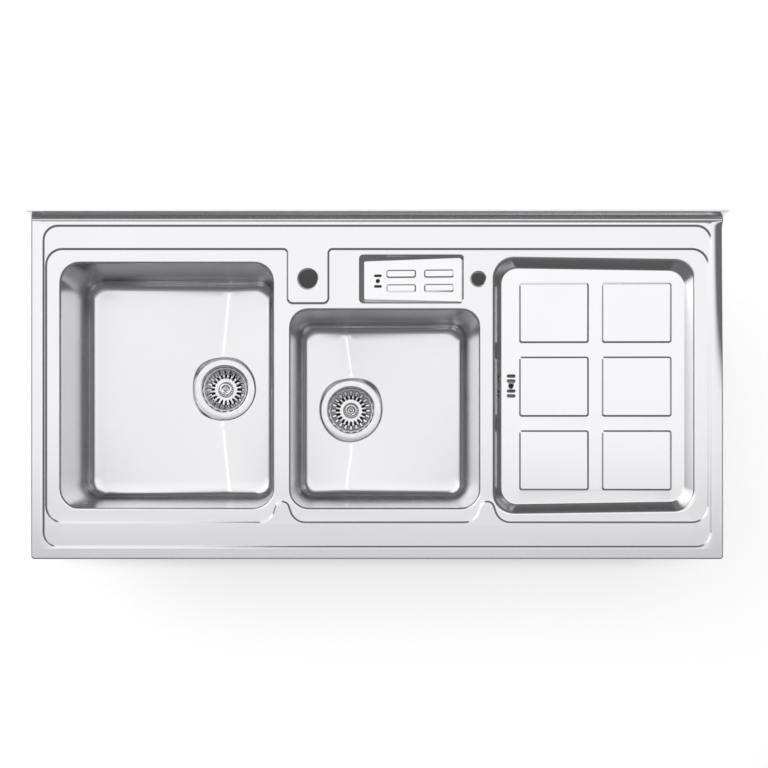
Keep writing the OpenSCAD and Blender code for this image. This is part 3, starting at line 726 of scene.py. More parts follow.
def bowl_sheet(bowl):
    """The upper face of a bowl."""
    (cx, cy), (w, d) = bowl["centre"], bowl["half"]
    cuts = (int(w / 4), int(d / 4))
    a0 = math.radians(RIM_TURN["bowl"])
    section = [(RIM_R * math.sin(a0) - RIM_OUT, RIM_R * (1 - math.cos(a0)))]
    bend_top = EDGE_DEPTH - BOTTOM_R
    section += [(2.02, 4.3), (2.1, 6.0)]
    section += [(2 + (DRAFT - 2) * k / 4, 4 + (bend_top - 4) * k / 4) for k in (1, 2, 3)]
    face, rings = Face(), []
    arc = [math.radians(90 * k / 9) for k in range(10)]
    for k, a in enumerate([None] * len(section) + arc):
        inset, depth = section[k] if a is None else (
            FLOOR_EDGE - BOTTOM_R * math.cos(a), bend_top + BOTTOM_R * math.sin(a))
        share = 0.0 if a is None else (a / (math.pi / 2)) ** 2
        ring = fillet(eased(box_corners((cx, cy), (w, d), bowl["r"]), inset), inset, 12, cuts)
        rings.append((ring, lambda x, y, depth=depth, share=share:
                      WET - depth - share * floor_drop(bowl, x, y)))
    _, border = face.loops(rings)
    height = lambda x, y: floor_height(bowl, x, y)
    _, last = face.loops([(circle(bowl["waste"], r, 96), height) for r in (
        WASTE_R, 47, 50, 54, 57, 57.5, 58, 58.5, 59, 59.6, 60.5, 61, 62, 63, 64, 65.5, 67, 69, 72)])
    lines = crease_lines(bowl)
    grid = floor_grid(bowl, lines, 8.0, 4, 4, 76, 22, 17.5)
    face.fill([border, last], grid, height, lines)
    return face


def paint_crease_highlight(data, bowl):
    """Stores how much painted highlight each point takes, with a glossier finish: fully on the crease, not at all on
    the fields.
    """
    xd, yd = bowl["waste"]
    marks = data.attributes.new("burnish", "FLOAT", "POINT")
    for v, painted_highlight in zip(data.vertices, marks.data):
        x, y, z = (c / MM for c in v.co)
        t = abs(y - yd) / (bowl["half"][1] - FLOOR_EDGE)
        off = x - crease_at(bowl, min(t, 1.1))
        r = math.hypot(x - xd, y - yd)
        low = z < WET - EDGE_DEPTH + BOTTOM_R * 0.7
        painted_highlight.value = math.exp(-(off / 2.2) ** 2) * s_curve((r - 61) / 3) if low else 0.0


for bowl, name in ((LARGE, "large_bowl"), (SMALL, "small_bowl")):
    data = bowl_sheet(bowl).mesh(name + "_drawn")
    paint_crease_highlight(data, bowl)
    shell = piece(name + "_drawn", data, node=name, slot="bowl_steel", material=bowl_steel,
                  smooth=60)
    thicken(shell, weigh=False, back=raw_steel)
    print(name, len(shell.data.polygons), "faces")

# %% [markdown]
# ## The drainer and the soap tray
# Both are shallow pressings with a sloping floor. The squares and the ribs are raised from the
# same sheet: each is a pair of nested outlines with a soft flank between them. The slots and the
# screw hole over the collector are punched through.

# %% Pans
DRAINER_SPEC = dict(corners=DRAINER, wall=19.0, deep=18.0, shallow=12.0, x0=201.0, width=352.0,
                    drain=(235.0, 1.0), slots=(14.6, 5.0, (-17.4, -8.7, 8.7, 17.4)), hole=4.1)
TRAY_SPEC = dict(corners=TRAY, wall=9.0, deep=18.0, shallow=8.0, x0=-31.0, width=182.0,
                 drain=(1.8, 184.5), slots=(13.0, 3.8, (-9.3, 9.3)), hole=3.1)
SQUARES = [((x, k * 128.8), (61.0, 52.85), 5.0, 3.4, 2.2)
           for x in (309.5, 453.5) for k in (-1, 0, 1)]
RIBS = [((x, y), (26.0, 7.25), 4.0, 2.6, 1.9) for x in (42.3, 108.1) for y in (171.8, 196.9)]


def pan_slope(pan):
    return (pan["deep"] - pan["shallow"]) / (pan["width"] - 2 * pan["wall"])


def pan_depth(pan, x):
    return pan["deep"] - pan_slope(pan) * (x - pan["x0"] - pan["wall"])


def slot_loop(centre, length, width, n=8):
    half, r = length / 2 - width / 2, width / 2
    turns = [(half, -math.pi / 2), (-half, math.pi / 2)]
    return [Vector((centre[0] + dx + r * math.cos(a + math.pi * k / n),
                    centre[1] + r * math.sin(a + math.pi * k / n)))
            for dx, a in turns for k in range(n + 1)]


def pan_sheet(pan, raised, radius, out, feet):
    """The upper face of a pan; feet are the section's lower corner and its radius at the deep
    side and at the shallow side, and the walls change evenly from one to the other."""
    face = Face()
    a0 = math.radians(RIM_TURN["pan"])
    start = (radius * math.sin(a0) - out, radius * (1 - math.cos(a0)))
    nominal = 15.0
    sections = [bent([start, (corner, nominal, foot), (pan["wall"] + 8, nominal)], 9)[:-1]
                for corner, foot in feet]
    floor = lambda x, y: WET - pan_depth(pan, x)
    rings = []
    for p, q in zip(*sections):
        share = (p.y - start[1]) / (nominal - start[1])
        deep, shallow = (fillet(eased(pan["corners"], end.x, 0.5), end.x, 8) for end in (p, q))
        ring = [a.lerp(b, max(0.0, min(1.0, (a.x - pan["x0"]) / pan["width"])))
                for a, b in zip(deep, shallow)]
        rings.append((ring, lambda x, y, share=share: WET - start[1] - share *
                      (pan_depth(pan, x) - start[1])))
    _, border = face.loops(rings)
    holes = []
    for centre, half, r, edge, height in raised:
        flank = [(fillet(box_corners(centre, half, r), edge * k / 8, 5),
                  lambda x, y, k=k: floor(x, y) + height * press_step(k / 8)) for k in range(9)]
        low, high = face.loops(flank)
        holes.append(low)
        face.fill([high])
    length, width, rows = pan["slots"]
    for dy in rows:
        at = (pan["drain"][0], pan["drain"][1] + dy)
        holes.append(face.loops([(slot_loop(at, length + 2 * g, width + 2 * g),
                                  lambda x, y, dz=dz: floor(x, y) - dz)
                                 for g, dz in ((0.9, 0), (0.35, 0.15), (0, 0.6))])[0])
    holes.append(face.loops([(circle(pan["drain"], pan["hole"] + g, 32),
                              lambda x, y, dz=dz: floor(x, y) - dz)
                             for g, dz in ((1.2, 0), (0.4, 0.3), (0, 0.8))])[0])
    face.fill([border] + holes)
    return face


drainer_data = pan_sheet(DRAINER_SPEC, SQUARES, *PAN_RIM["drainer"],
                         ((16.0, 4.0), (17.5, 4.0))).mesh("drainer_pressed")
tray_data = pan_sheet(TRAY_SPEC, RIBS, *PAN_RIM["tray"],
                      ((8.6, 1.5), (3.4, 1.0))).mesh("soap_tray_pressed")
for data, node in ((drainer_data, "drainer_pan"), (tray_data, "soap_tray")):
    pan = piece(data.name, data, node=node, slot="pan_steel", material=pan_steel)
    thicken(pan, back=raw_steel)
    print(node, len(data.polygons), "faces")

# %% [markdown]
# ## Finishes of the fittings
# The wastes are polished on a lathe, so their grain runs in circles round each waste. The grain
# is noise read at the distance from the axis. The parts below are zinc-coated steel, rubber,
# bitumen and moulded plastic; each has its own grain, a worn tint and a change of gloss.

# %% Materials of the fittings
def turned_steel(name, centre, base, roughness):
    """Polished steel with circular grain about an upright axis."""
    steel = Recipe(name, Metallic=1.0)
    spot = steel.place(at=(-centre[0] * MM, -centre[1] * MM, 0))
    x, y, z = steel.split(spot)
    radius = steel.length(x, y)
    angle = steel.node("ShaderNodeMath", {"operation": "ARCTAN2"}, {0: y, 1: x})
    where = steel.node("ShaderNodeCombineXYZ", sockets={0: radius * 1500.0, 1: angle * 1.5,
                                                        2: z * 900.0})
    grain = steel.noise(where, 1.0, detail=3.0, roughness=0.6)
    cloud = steel.noise(spot, 60.0, detail=3.0)
    tint = steel.blend(cloud.within(0.35, 0.65), [c * 0.93 for c in base] + [1], [*base, 1])
    rough = roughness + (grain - 0.5) * 0.10 + (cloud - 0.5) * 0.06
    relief = steel.bump(grain, 0.00004)
    return steel.feed(Base_Color=tint, Roughness=rough, Normal=relief)


def spangled(name, base, roughness=0.38, size=110.0):
    """Hot-dip zinc: crystals of slightly different grey, with white dust in the seams."""
    zinc = Recipe(name, Metallic=1.0)
    spot = zinc.place()
    wobble = zinc.noise(spot, 45.0, detail=2.0)
    cells = zinc.node("ShaderNodeTexVoronoi", sockets={"Vector": spot, "Scale": size},
                      out="Color")
    shade = zinc.node("ShaderNodeSeparateColor", sockets={0: cells})
    dust = zinc.noise(spot, 14.0, detail=5.0, roughness=0.65)
    crystal = zinc.blend(shade * 0.7 + wobble * 0.3, [c * 0.72 for c in base] + [1], [*base, 1])
    tint = zinc.blend(dust.within(0.55, 0.75, 0.0, 0.5), crystal, (0.78, 0.79, 0.80, 1))
    rough = roughness + (shade - 0.5) * 0.16 + dust.within(0.5, 0.8, 0.0, 0.2)
    return zinc.feed(Base_Color=tint, Roughness=rough,
                     Normal=zinc.bump(shade * 0.6 + wobble, 0.00006))


def moulded(name, base, roughness, scale, depth, worn, metallic=0.0):
    """Rubber, plastic or bitumen; worn is the colour that handling leaves, laid in random patches."""
    skin = Recipe(name, Metallic=metallic)
    spot = skin.place()
    grain = skin.noise(spot, scale, detail=3.0, roughness=0.6)
    patch = skin.noise(spot, 28.0, detail=4.0, roughness=0.6)
    tint = skin.blend(patch.within(0.5, 0.8, 0.0, 0.55), [*base, 1], [*worn, 1])
    rough = roughness + (grain - 0.5) * 0.14 + (patch - 0.5) * 0.16
    return skin.feed(Base_Color=tint, Roughness=rough, Normal=skin.bump(grain, depth))


large_polished = turned_steel("Polished steel, large waste", LARGE["waste"], STEEL, 0.15)
small_polished = turned_steel("Polished steel, small waste", SMALL["waste"], STEEL, 0.15)
galvanised = spangled("Galvanised steel", (0.62, 0.64, 0.66))
screw_steel = moulded("Screw steel", (0.50, 0.51, 0.53), 0.30, 700.0, 0.00002,
                      (0.36, 0.36, 0.37), metallic=1.0)
dark_screw = moulded("Dark screw steel", (0.045, 0.045, 0.048), 0.34, 700.0, 0.00002,
                     (0.10, 0.10, 0.10), metallic=1.0)
brass = moulded("Brass", (0.72, 0.52, 0.22), 0.32, 500.0, 0.00003, (0.45, 0.33, 0.16),
                metallic=1.0)
rubber = moulded("Black rubber", (0.022, 0.022, 0.024), 0.62, 900.0, 0.00005,
                 (0.060, 0.060, 0.062))
bitumen = moulded("Bitumen", (0.030, 0.030, 0.032), 0.78, 260.0, 0.0004, (0.075, 0.072, 0.070))
black_plastic = moulded("Black plastic", (0.028, 0.028, 0.030), 0.40, 1200.0, 0.00003,
                        (0.055, 0.055, 0.058))
white_plastic = moulded("White plastic", (0.80, 0.80, 0.77), 0.38, 700.0, 0.00003,
                        (0.70, 0.69, 0.65))
hose_plastic = moulded("Hose plastic", (0.72, 0.73, 0.73), 0.34, 500.0, 0.00003,
                       (0.60, 0.60, 0.58))
print("materials:", len(bpy.data.materials))

# %% [markdown]
# ## Turned shapes and plates
# Flanges, cups, seals and knobs are sections of radius and height carried round an axis. A
# lathe could cut them from solid, but most are pressed or moulded, so every corner is eased by a
# small radius first: real edges always catch a thin line of light.

# %% Turning and plates
def soften(section, r=0.4, steps=2, closed=True):
    """Rounds every corner of a section as far as its sides allow."""
    points, line = [Vector(p[:2]) for p in section], []
    for i, here in enumerate(points):
        before, after = points[i - 1], points[(i + 1) % len(points)]
        ends = not closed and i in (0, len(points) - 1)
        half = 0 if ends else (here - before).angle(after - here) / 2
        if half < 0.03:
            line.append(here)
            continue
        fits = 0.45 * min((here - before).length, (after - here).length) / math.tan(half)
        line += bend_at(before, here, after, min(r, fits), 0.0, steps)
    return line


def turned(face, section, n=96, frame=None, closed=True):
    """Carries a section round the axis of a frame; a point on the axis is the tip of a fan."""
    frame = frame or Matrix()
    rings = []
    for r, z in section:
        spots = [frame @ Vector((r * math.cos(a), r * math.sin(a), z)) for a in
                 (2 * math.pi * k / n for k in range(n if r > 1e-6 else 1))]
        rings.append(face.loop(spots, None) * (1 if r > 1e-6 else n))
    for a, b in zip(rings, rings[1:] + (rings[:1] if closed else [])):
        for i in range(n):
            j = (i + 1) % n
            corners = tuple(dict.fromkeys((a[i], a[j], b[j], b[i])))
            if len(corners) > 2:
                face.faces.append(corners)


def plate(face, outline, holes, low, high, edge=0.2):
    """A level plate with eased edges; outline and holes give their points for an inset."""
    fields = []
    for shape in (outline, *holes):
        fields.append(face.loops([(shape(edge), low), (shape(0), low + edge),
                                  (shape(0), high - edge), (shape(edge), high)]))
    face.fill([first for first, _ in fields])
    face.fill([last for _, last in fields])


def block(face, frame, size, r=0.8, edge=0.4):
    """A rounded box about a frame's origin."""
    w, d, h = (s / 2 for s in size)
    rings = []
    for inset, z in ((edge, -h), (edge * 0.3, -h + edge * 0.3), (0, -h + edge),
                     (0, h - edge), (edge * 0.3, h - edge * 0.3), (edge, h)):
        rings.append(face.loop([frame @ Vector((p.x, p.y, z)) for p in
                                fillet(box_corners((0, 0), (w, d), r), inset, 3)], None))
    for a, b in zip(rings, rings[1:]):
        face.strip(a, b)
    face.faces += [tuple(rings[0]), tuple(rings[-1])]


def spot_frame(x, y, z, turn=0.0, lie=False):
    """A frame at x, y, z turned about the upright axis; lie puts its own axis level."""
    frame = Matrix.Translation((x, y, z)) @ Matrix.Rotation(turn, 4, "Z")
    return frame @ Matrix.Rotation(math.pi / 2, 4, "Y") if lie else frame


def solid(name, face, node, slot, material, body="root"):
    """A closed piece: its faces are turned outwards, whatever way they were added."""
    return piece(name, face.mesh(name, up=None), body, node, slot, material)


# %% [markdown]
# ## The wastes
# The strainer cup hangs through the bowl's hole by its flange, with a rubber ring on each side
# of the sheet. A long screw through the spider of the cup pulls the plastic body up against the
# bowl from below. Its outlet carries a thread, which here is a ridge that really climbs.

# %% Strainers and seals
FLANGE_R, CUP_FLOOR, CUP_OPEN = 56.5, -30.0, 26.0
STRAINER = [(FLANGE_R, 0.3), (FLANGE_R, 1.3), (55.9, 2.0), (46.2, 2.0), (43.6, 1.3),
            (42.7, 0.0), (42.7, -1.0), (39.7, CUP_FLOOR + 1), (38.7, CUP_FLOOR),
            (CUP_OPEN, CUP_FLOOR), (CUP_OPEN, CUP_FLOOR - 1), (39.2, CUP_FLOOR - 1),
            (40.7, CUP_FLOOR + 0.7), (43.7, -1.0), (43.7, 0.4), (44.5, 1.0),
            (FLANGE_R - 1, 1.0), (FLANGE_R - 1, 0.3)]
WASTES = (("large", LARGE, large_polished), ("small", SMALL, small_polished))


def spider(centre):
    """Outline of three arms that meet in a hub, with filleted armpits."""
    corners = []
    for k in range(3):
        a = 2 * math.pi * k / 3
        for along, across, r in ((26.8, -3.0, 0.5), (26.8, 3.0, 0.5)):
            corners.append((centre[0] + along * math.cos(a) - across * math.sin(a),
                            centre[1] + along * math.sin(a) + across * math.cos(a), r))
        pit = a + math.pi / 3
        corners.append((centre[0] + 3.464 * math.cos(pit), centre[1] + 3.464 * math.sin(pit), 14))
    return corners


for name, bowl, steel in WASTES:
    centre = bowl["waste"]
    here = spot_frame(*centre, SEAT_Z)
    cup = Face()
    turned(cup, soften(STRAINER, 0.8, 3), 128, here)
    plate(cup, lambda inset, c=centre: fillet(spider(c), inset, 5),
          [lambda inset, c=centre: circle(c, 3.25 + inset, 24)],
          SEAT_Z + CUP_FLOOR - 0.85, SEAT_Z + CUP_FLOOR - 0.15, 0.15)
    solid(name + "_strainer_cup", cup, name + "_strainer", "polished_steel", steel)
    for part, section in (("flange_seal", [(46, 0.02), (55, 0.02), (55, 0.95), (46, 0.95)]),
                          ("lower_seal", [(47.5, -4), (57, -4), (57, -1.05), (47.5, -1.05)])):
        ring = Face()
        turned(ring, soften(section, 0.45, 2), 96, here)
        solid(f"{name}_{part}_ring", ring, f"{name}_{part}", "black_rubber", rubber)
print("strainers and seals made")

# %% Waste bodies, clamp screws and nuts
DRAINER_FROM, TRAY_FROM = Vector((250.0, 1.0)), Vector((14.8, 184.5))
HOSE_OF = {"large": TRAY_FROM, "small": DRAINER_FROM}
NUT_Z, INLET_Z, OUTLET_Z, BODY_TOP = -60.0, -40.0, -95.0, -4.0
THREAD_ROOT, OUTLET_BORE, FLANGE_RIBS = 22.7, 20.5, 24
SPIGOT_R, SPIGOT_BORE = 9.5, 7.2
BODY = [(47, BODY_TOP), (58, BODY_TOP), (58, -8), (50.2, -8.4), (48.6, -50), (THREAD_ROOT, -66),
        (THREAD_ROOT, OUTLET_Z), (OUTLET_BORE, OUTLET_Z), (OUTLET_BORE, -67.5), (45.6, -51.3),
        (47, -8)]


def barbed(start, stop, teeth=4):
    """Section of a hose spigot from its collar to its tip: teeth that let the hose on, not off."""
    step = (stop - start - 3) / teeth
    line = [(SPIGOT_R - 0.6, start)]
    for k in range(teeth):
        line += [(SPIGOT_R - 0.6, start + 2 + k * step), (SPIGOT_R + 0.3, start + 2.4 + k * step),
                 (SPIGOT_R - 0.6, start + 1.9 + (k + 1) * step)]
    return line + [(SPIGOT_R - 0.9, stop), (SPIGOT_BORE, stop)]


def thread(face, frame, r, low, high, pitch=2.3, height=1.2, n=60):
    """A ridge of triangular section that climbs about the axis of a frame."""
    rings = []
    for k in range(int((high - low) / pitch * n) + 1):
        a, z = 2 * math.pi * k / n, low + pitch * k / n
        ease = s_curve(min(k, (high - low) / pitch * n - k) / (n / 3))
        tip = r - 0.3 + (height + 0.3) * max(ease, 0.05)
        rings.append(face.loop([frame @ Vector((q * math.cos(a), q * math.sin(a), z + dz))
                                for q, dz in ((r - 0.4, -0.95), (tip, -0.25), (tip, 0.25),
                                              (r - 0.4, 0.95))], None))
    for a, b in zip(rings, rings[1:]):
        face.strip(a, b)
    face.faces += [tuple(rings[0]), tuple(rings[-1])]


for name, bowl, steel in WASTES:
    centre = Vector(bowl["waste"])
    towards = HOSE_OF[name] - centre
    turn = math.atan2(towards.y, towards.x)
    here = spot_frame(*centre, SEAT_Z)
    body = Face()
    turned(body, soften(BODY, 0.9, 3), 128, here)
    thread(body, here, THREAD_ROOT, OUTLET_Z + 2.0, -69.0)
    for k in range(FLANGE_RIBS):
        a = 2 * math.pi * (k + 0.5) / FLANGE_RIBS
        rib = spot_frame(centre.x + 54.0 * math.cos(a), centre.y + 54.0 * math.sin(a),
                         SEAT_Z - 10.2, a)
        block(body, rib, (7.4, 1.6, 5.0), 0.5, 0.3)
    side = spot_frame(*centre, SEAT_Z + INLET_Z, turn) @ spot_frame(46.8, 0, 0, lie=True)
    turned(body, soften([(SPIGOT_BORE, -1.0), (13.0, -1.0), (13.0, 5.0), *barbed(5.0, 31.0)],
                        0.5, 2), 48, side)
    for a in (45, 135):
        arm = spot_frame(*centre, SEAT_Z - 54.2, math.radians(a))
        block(body, arm, (88.0, 4.0, 7.4), 0.4, 0.4)
    turned(body, soften([(3.3, -50), (9, -50), (9, -60), (5.95, -60), (5.95, -54.8), (3.3, -54.8)],
                        0.5, 2), 32, here)
    solid(name + "_waste_cup", body, name + "_waste_body", "white_plastic", white_plastic)
    screw, nut = Face(), Face()
    turned(screw, soften([(0, NUT_Z - 3), (2.5, NUT_Z - 3), (2.9, NUT_Z - 2.4),
                          (2.9, CUP_FLOOR + 0.1), (6, CUP_FLOOR + 0.1), (6, CUP_FLOOR + 1.6),
                          (4.6, CUP_FLOOR + 2.8), (1.9, CUP_FLOOR + 2.8), (1.6, CUP_FLOOR + 1.6),
                          (0, CUP_FLOOR + 1.5)], 0.4, 2, closed=False), 32, here, closed=False)
    solid(name + "_clamp_bolt", screw, name + "_clamp_screw", "screw_steel", screw_steel)
    plate(nut, lambda inset, c=centre: circle(c, 5.75 - inset, 6),
          [lambda inset, c=centre: circle(c, 3.0 + inset, 24)],
          SEAT_Z + NUT_Z, SEAT_Z + NUT_Z + 5, 0.4)
    solid(name + "_clamp_hex", nut, name + "_clamp_nut", "nut_brass", brass)
print("waste bodies made")

# %% [markdown]
# ## The baskets
# The basket is stamped from thin sheet: twenty narrow slots run down its wall and across its
# floor, and the metal between them is crowned. One twentieth is modelled as a narrow grid that
# leaves its slot open, and Geometry Nodes repeats it round the axis and welds the seams.

# %% Geometry Nodes: repeat round an axis
def flow(name, inputs):
    """An empty geometry group with named inputs; returns a recipe around it and its sockets."""
    tree = bpy.data.node_groups.new(name, "GeometryNodeTree")
    given, keys = Graph(tree), {}
    for label, kind in inputs:
        keys[label] = tree.interface.new_socket(label, in_out="INPUT", socket_type=kind).identifier
    tree.interface.new_socket("Geometry", in_out="OUTPUT", socket_type="NodeSocketGeometry")
    entry = tree.nodes.new("NodeGroupInput")
    return given, {label: Value(given, entry.outputs[label]) for label, _ in inputs}, keys


def finish_flow(given, result, material):
    """Ends a group: instances become real, are welded and get their material."""
    real = given.node("GeometryNodeRealizeInstances", sockets={0: result})
    welded = given.node("GeometryNodeMergeByDistance", sockets={0: real, "Distance": 0.000004})
    done = given.node("GeometryNodeSetMaterial", sockets={0: welded, "Material": material})
    out = given.tree.nodes.new("NodeGroupOutput")
    given.tree.links.new(done.socket, out.inputs[0])
    return given.tree


def run_flow(tree, keys, source, name, **values):
    """Runs a group on a mesh or curve and returns the plain mesh it makes."""
    obj = bpy.data.objects.new(name, source)
    bpy.context.scene.collection.objects.link(obj)
    nodes = obj.modifiers.new("Nodes", "NODES")
    nodes.node_group = tree
    for label, value in values.items():
        nodes[keys[label]] = value
    view = bpy.context.evaluated_depsgraph_get()
    made = bpy.data.meshes.new_from_object(obj.evaluated_get(view), depsgraph=view)
    bpy.data.objects.remove(obj)
    return made


given, sockets, RING_KEYS = flow("Repeat round an axis", (
    ("Geometry", "NodeSocketGeometry"), ("Count", "NodeSocketInt"),
    ("Centre", "NodeSocketVector"), ("Material", "NodeSocketMaterial")))
points = given.node("GeometryNodeMeshLine", sockets={
    "Count": sockets["Count"], "Start Location": sockets["Centre"], "Offset": (0, 0, 0)})
turn = given.node("GeometryNodeInputIndex") * 2 * math.pi / sockets["Count"]
spun = given.node("GeometryNodeInstanceOnPoints", sockets={
    "Points": points, "Instance": sockets["Geometry"],
    "Rotation": given.node("ShaderNodeCombineXYZ", sockets={2: turn})})
ring_tree = finish_flow(given, spun, sockets["Material"])

# %% Basket sectors
BASKET_FLOOR, BASKET_SLOTS, SLOT_HALF = -19.2, 20, 1.8
SLOT_FROM, SLOT_TO = 21.0, 36.6
BASKET_LINE = bent([(41.2, -0.55), (41.4, 0.1, 0.4), (40.6, 0.95, 0.6), (39.5, 0.75, 0.6),
                    (31.4, BASKET_FLOOR + 4.6, 3.0), (29.6, BASKET_FLOOR, 2.6),
                    (SLOT_FROM - 3, BASKET_FLOOR), (4.3, BASKET_FLOOR)], 4)


def basket_rows():
    """Points down the section, close together where a slot starts and ends."""
    line = []
    for a, b in zip(BASKET_LINE, BASKET_LINE[1:]):
        pieces = max(1, int((b - a).length / 1.6))
        line += [a.lerp(b, k / pieces) for k in range(pieces)]
    line.append(BASKET_LINE[-1])
    for edge, way in ((SLOT_TO, -1), (SLOT_FROM, 1)):
        for d in (0.02, 0.35, 0.9, 1.8):
            r = edge + way * d
            i = next(k for k in range(len(line) - 1) if line[k].x >= r > line[k + 1].x)
            part = (line[i].x - r) / (line[i].x - line[i + 1].x)
            line.insert(i + 1, line[i].lerp(line[i + 1], part))
    return line


def basket_sector():
    face, rows = Face(), []
    half = math.pi / BASKET_SLOTS
    for p in basket_rows():
        near = min(p.x - SLOT_FROM, SLOT_TO - p.x)
        open_here = near > 0
        gap = SLOT_HALF
        if 0 <= near < SLOT_HALF:
            gap = math.sqrt(max(0.0, SLOT_HALF ** 2 - (SLOT_HALF - near) ** 2))
        elif near < 0:
            gap = min(SLOT_HALF, 0.25 - near * 0.5)
        edge = min(math.asin(min(gap / p.x, 0.9)), half * 0.75)
        crown = 0.55 * s_curve(near / 3) if open_here else 0.0
        angles = [-half, -half + (half - edge) * 0.35, -half + (half - edge) * 0.7, -edge]
        angles += [-a for a in reversed(angles)]
        row = [(p.x * math.cos(a), p.x * math.sin(a),
                p.y + crown * math.sin(math.pi / 2 * min(1, (abs(a) - edge) / (half - edge))))
               for a in angles]
        rows.append((face.loop(row, None), near >= 0))
    for (a, open_a), (b, open_b) in zip(rows, rows[1:]):
        for k in range(7):
            if not (k == 3 and open_a and open_b):
                face.faces.append((a[k], a[k + 1], b[k + 1], b[k]))
    return face.mesh("basket_sector", up=True, merge=0.001)


sector = basket_sector()
for name, bowl, steel in WASTES:
    start = (bowl["waste"][0] * MM, bowl["waste"][1] * MM, SEAT_Z * MM)
    data = run_flow(ring_tree, RING_KEYS, sector, "basket repeat", Count=BASKET_SLOTS,
                    Centre=start, Material=steel)
    basket = piece(name + "_basket_stamped", data, name + "_basket_body", name + "_basket",
                   "polished_steel", steel, smooth=45)
    thicken(basket, 0.75, weigh=False)
    print(name, "basket:", len(data.polygons), "faces")

# %% [markdown]
# The knob is a shallow turned button with a dished top. A rivet through its middle holds the
# black stem and the rubber plug below, which closes the cup when the basket is pushed down.

# %% Knobs, stems, plugs and rivets
B = BASKET_FLOOR
KNOB = [(4.2, B + 0.05), (15.5, B + 0.05), (15.2, B + 3.0), (13.6, B + 6.6), (11.4, B + 8.6),
        (9.2, B + 9.2), (7.4, B + 8.5), (5.6, B + 7.6), (1.9, B + 7.5), (1.9, B + 5.8),
        (4.2, B + 5.8)]
STEM = [(0, -25), (8, -25), (8, B - 0.85), (4, B - 0.85), (4, B + 5.6), (0, B + 5.6)]
PLUG = [(0, -26.8), (10, -26.8), (10, -30), (24.5, -30), (25.3, -29.2), (26.1, -30), (27.6, -30),
        (29, -28.6), (29, -26.6), (27, -25), (22, -25), (21.4, -25.5), (20.8, -25), (0, -25)]
RIVET = [(0, B + 5.7), (1.8, B + 5.7), (1.8, B + 7.62), (4.4, B + 7.62), (4.1, B + 8.2),
         (2.6, B + 8.7), (0, B + 8.85)]
for name, bowl, steel in WASTES:
    here = spot_frame(*bowl["waste"], SEAT_Z)
    for part, section, r, slot, material, shut in (
            ("knob", KNOB, 1.6, "polished_steel", steel, True),
            ("stem", STEM, 0.5, "black_plastic", black_plastic, False),
            ("plug", PLUG, 0.9, "black_rubber", rubber, False),
            ("rivet", RIVET, 0.5, "screw_steel", screw_steel, False)):
        shape = Face()
        turned(shape, soften(section, r, 3, closed=shut), 72, here, closed=shut)
        label = f"{name}_basket_{part}"
        solid(label + "_turned", shape, label, slot, material, name + "_basket_body")
print("knobs, stems, plugs and rivets made")

# %% [markdown]
# ## Sound pads
# A sheet of bitumen is stuck under each floor to deaden the sound of water. It follows the
# floor's own height function a sheet's thickness lower, so it can never poke through.

# %% Sound pads
for bowl, name in ((LARGE, "large"), (SMALL, "small")):
    (cx, cy), (w, d), margin = bowl["centre"], bowl["half"], FLOOR_EDGE + 9
    pad = Face()
    under = lambda x, y, b=bowl: floor_height(b, x, y) - SHEET - 0.12
    outline = fillet(eased(box_corners((cx, cy), (w, d), bowl["r"]), margin), margin, 12,
                     (20, 20))
    border, hole = pad.loop(outline, under), pad.loop(circle(bowl["waste"], 65, 72), under)
    lines = [[p for p in chain if abs(p[1] - cy) < d - FLOOR_EDGE - 13
              and math.hypot(p[0] - bowl["waste"][0], p[1] - bowl["waste"][1]) > 69]
             for chain in crease_lines(bowl)]
    grid = floor_grid(bowl, lines, 10, 15, 12, 69, 30, 17)
    pad.fill([border, hole], grid, under, lines)
    sheet = piece(name + "_pad", pad.mesh(name + "_pad"), node=name + "_sound_pad",
                  slot="bitumen", material=bitumen)
    thicken(sheet, 2.2, weigh=False)
    print(name, "pad:", len(sheet.data.polygons), "faces")

# %% [markdown]
# ## Collectors, hoses and clips
# Water from the drainer and the soap tray is caught by a small cup under each drain and led by
# a corrugated hose to the side inlet of a waste. Geometry Nodes sweeps the hose along its route
# and works the corrugations into its radius, leaving a plain cuff at each end for the clip.

# %% Collectors with their seals and screws
COLLECTOR_H, SEAL_T, COLLECTOR_WALL = 12.0, 3.0, 2.5
COLLECTORS = {"drainer": (DRAINER_SPEC, 30.0, 15.0, 3.8), "tray": (TRAY_SPEC, 24.0, 13.0, 2.9)}


def cup_height(pan, r):
    """Height of a level cup's rim below a sloping floor."""
    return WET - pan_depth(pan, pan["drain"][0]) - SHEET - pan_slope(pan) * r - SEAL_T


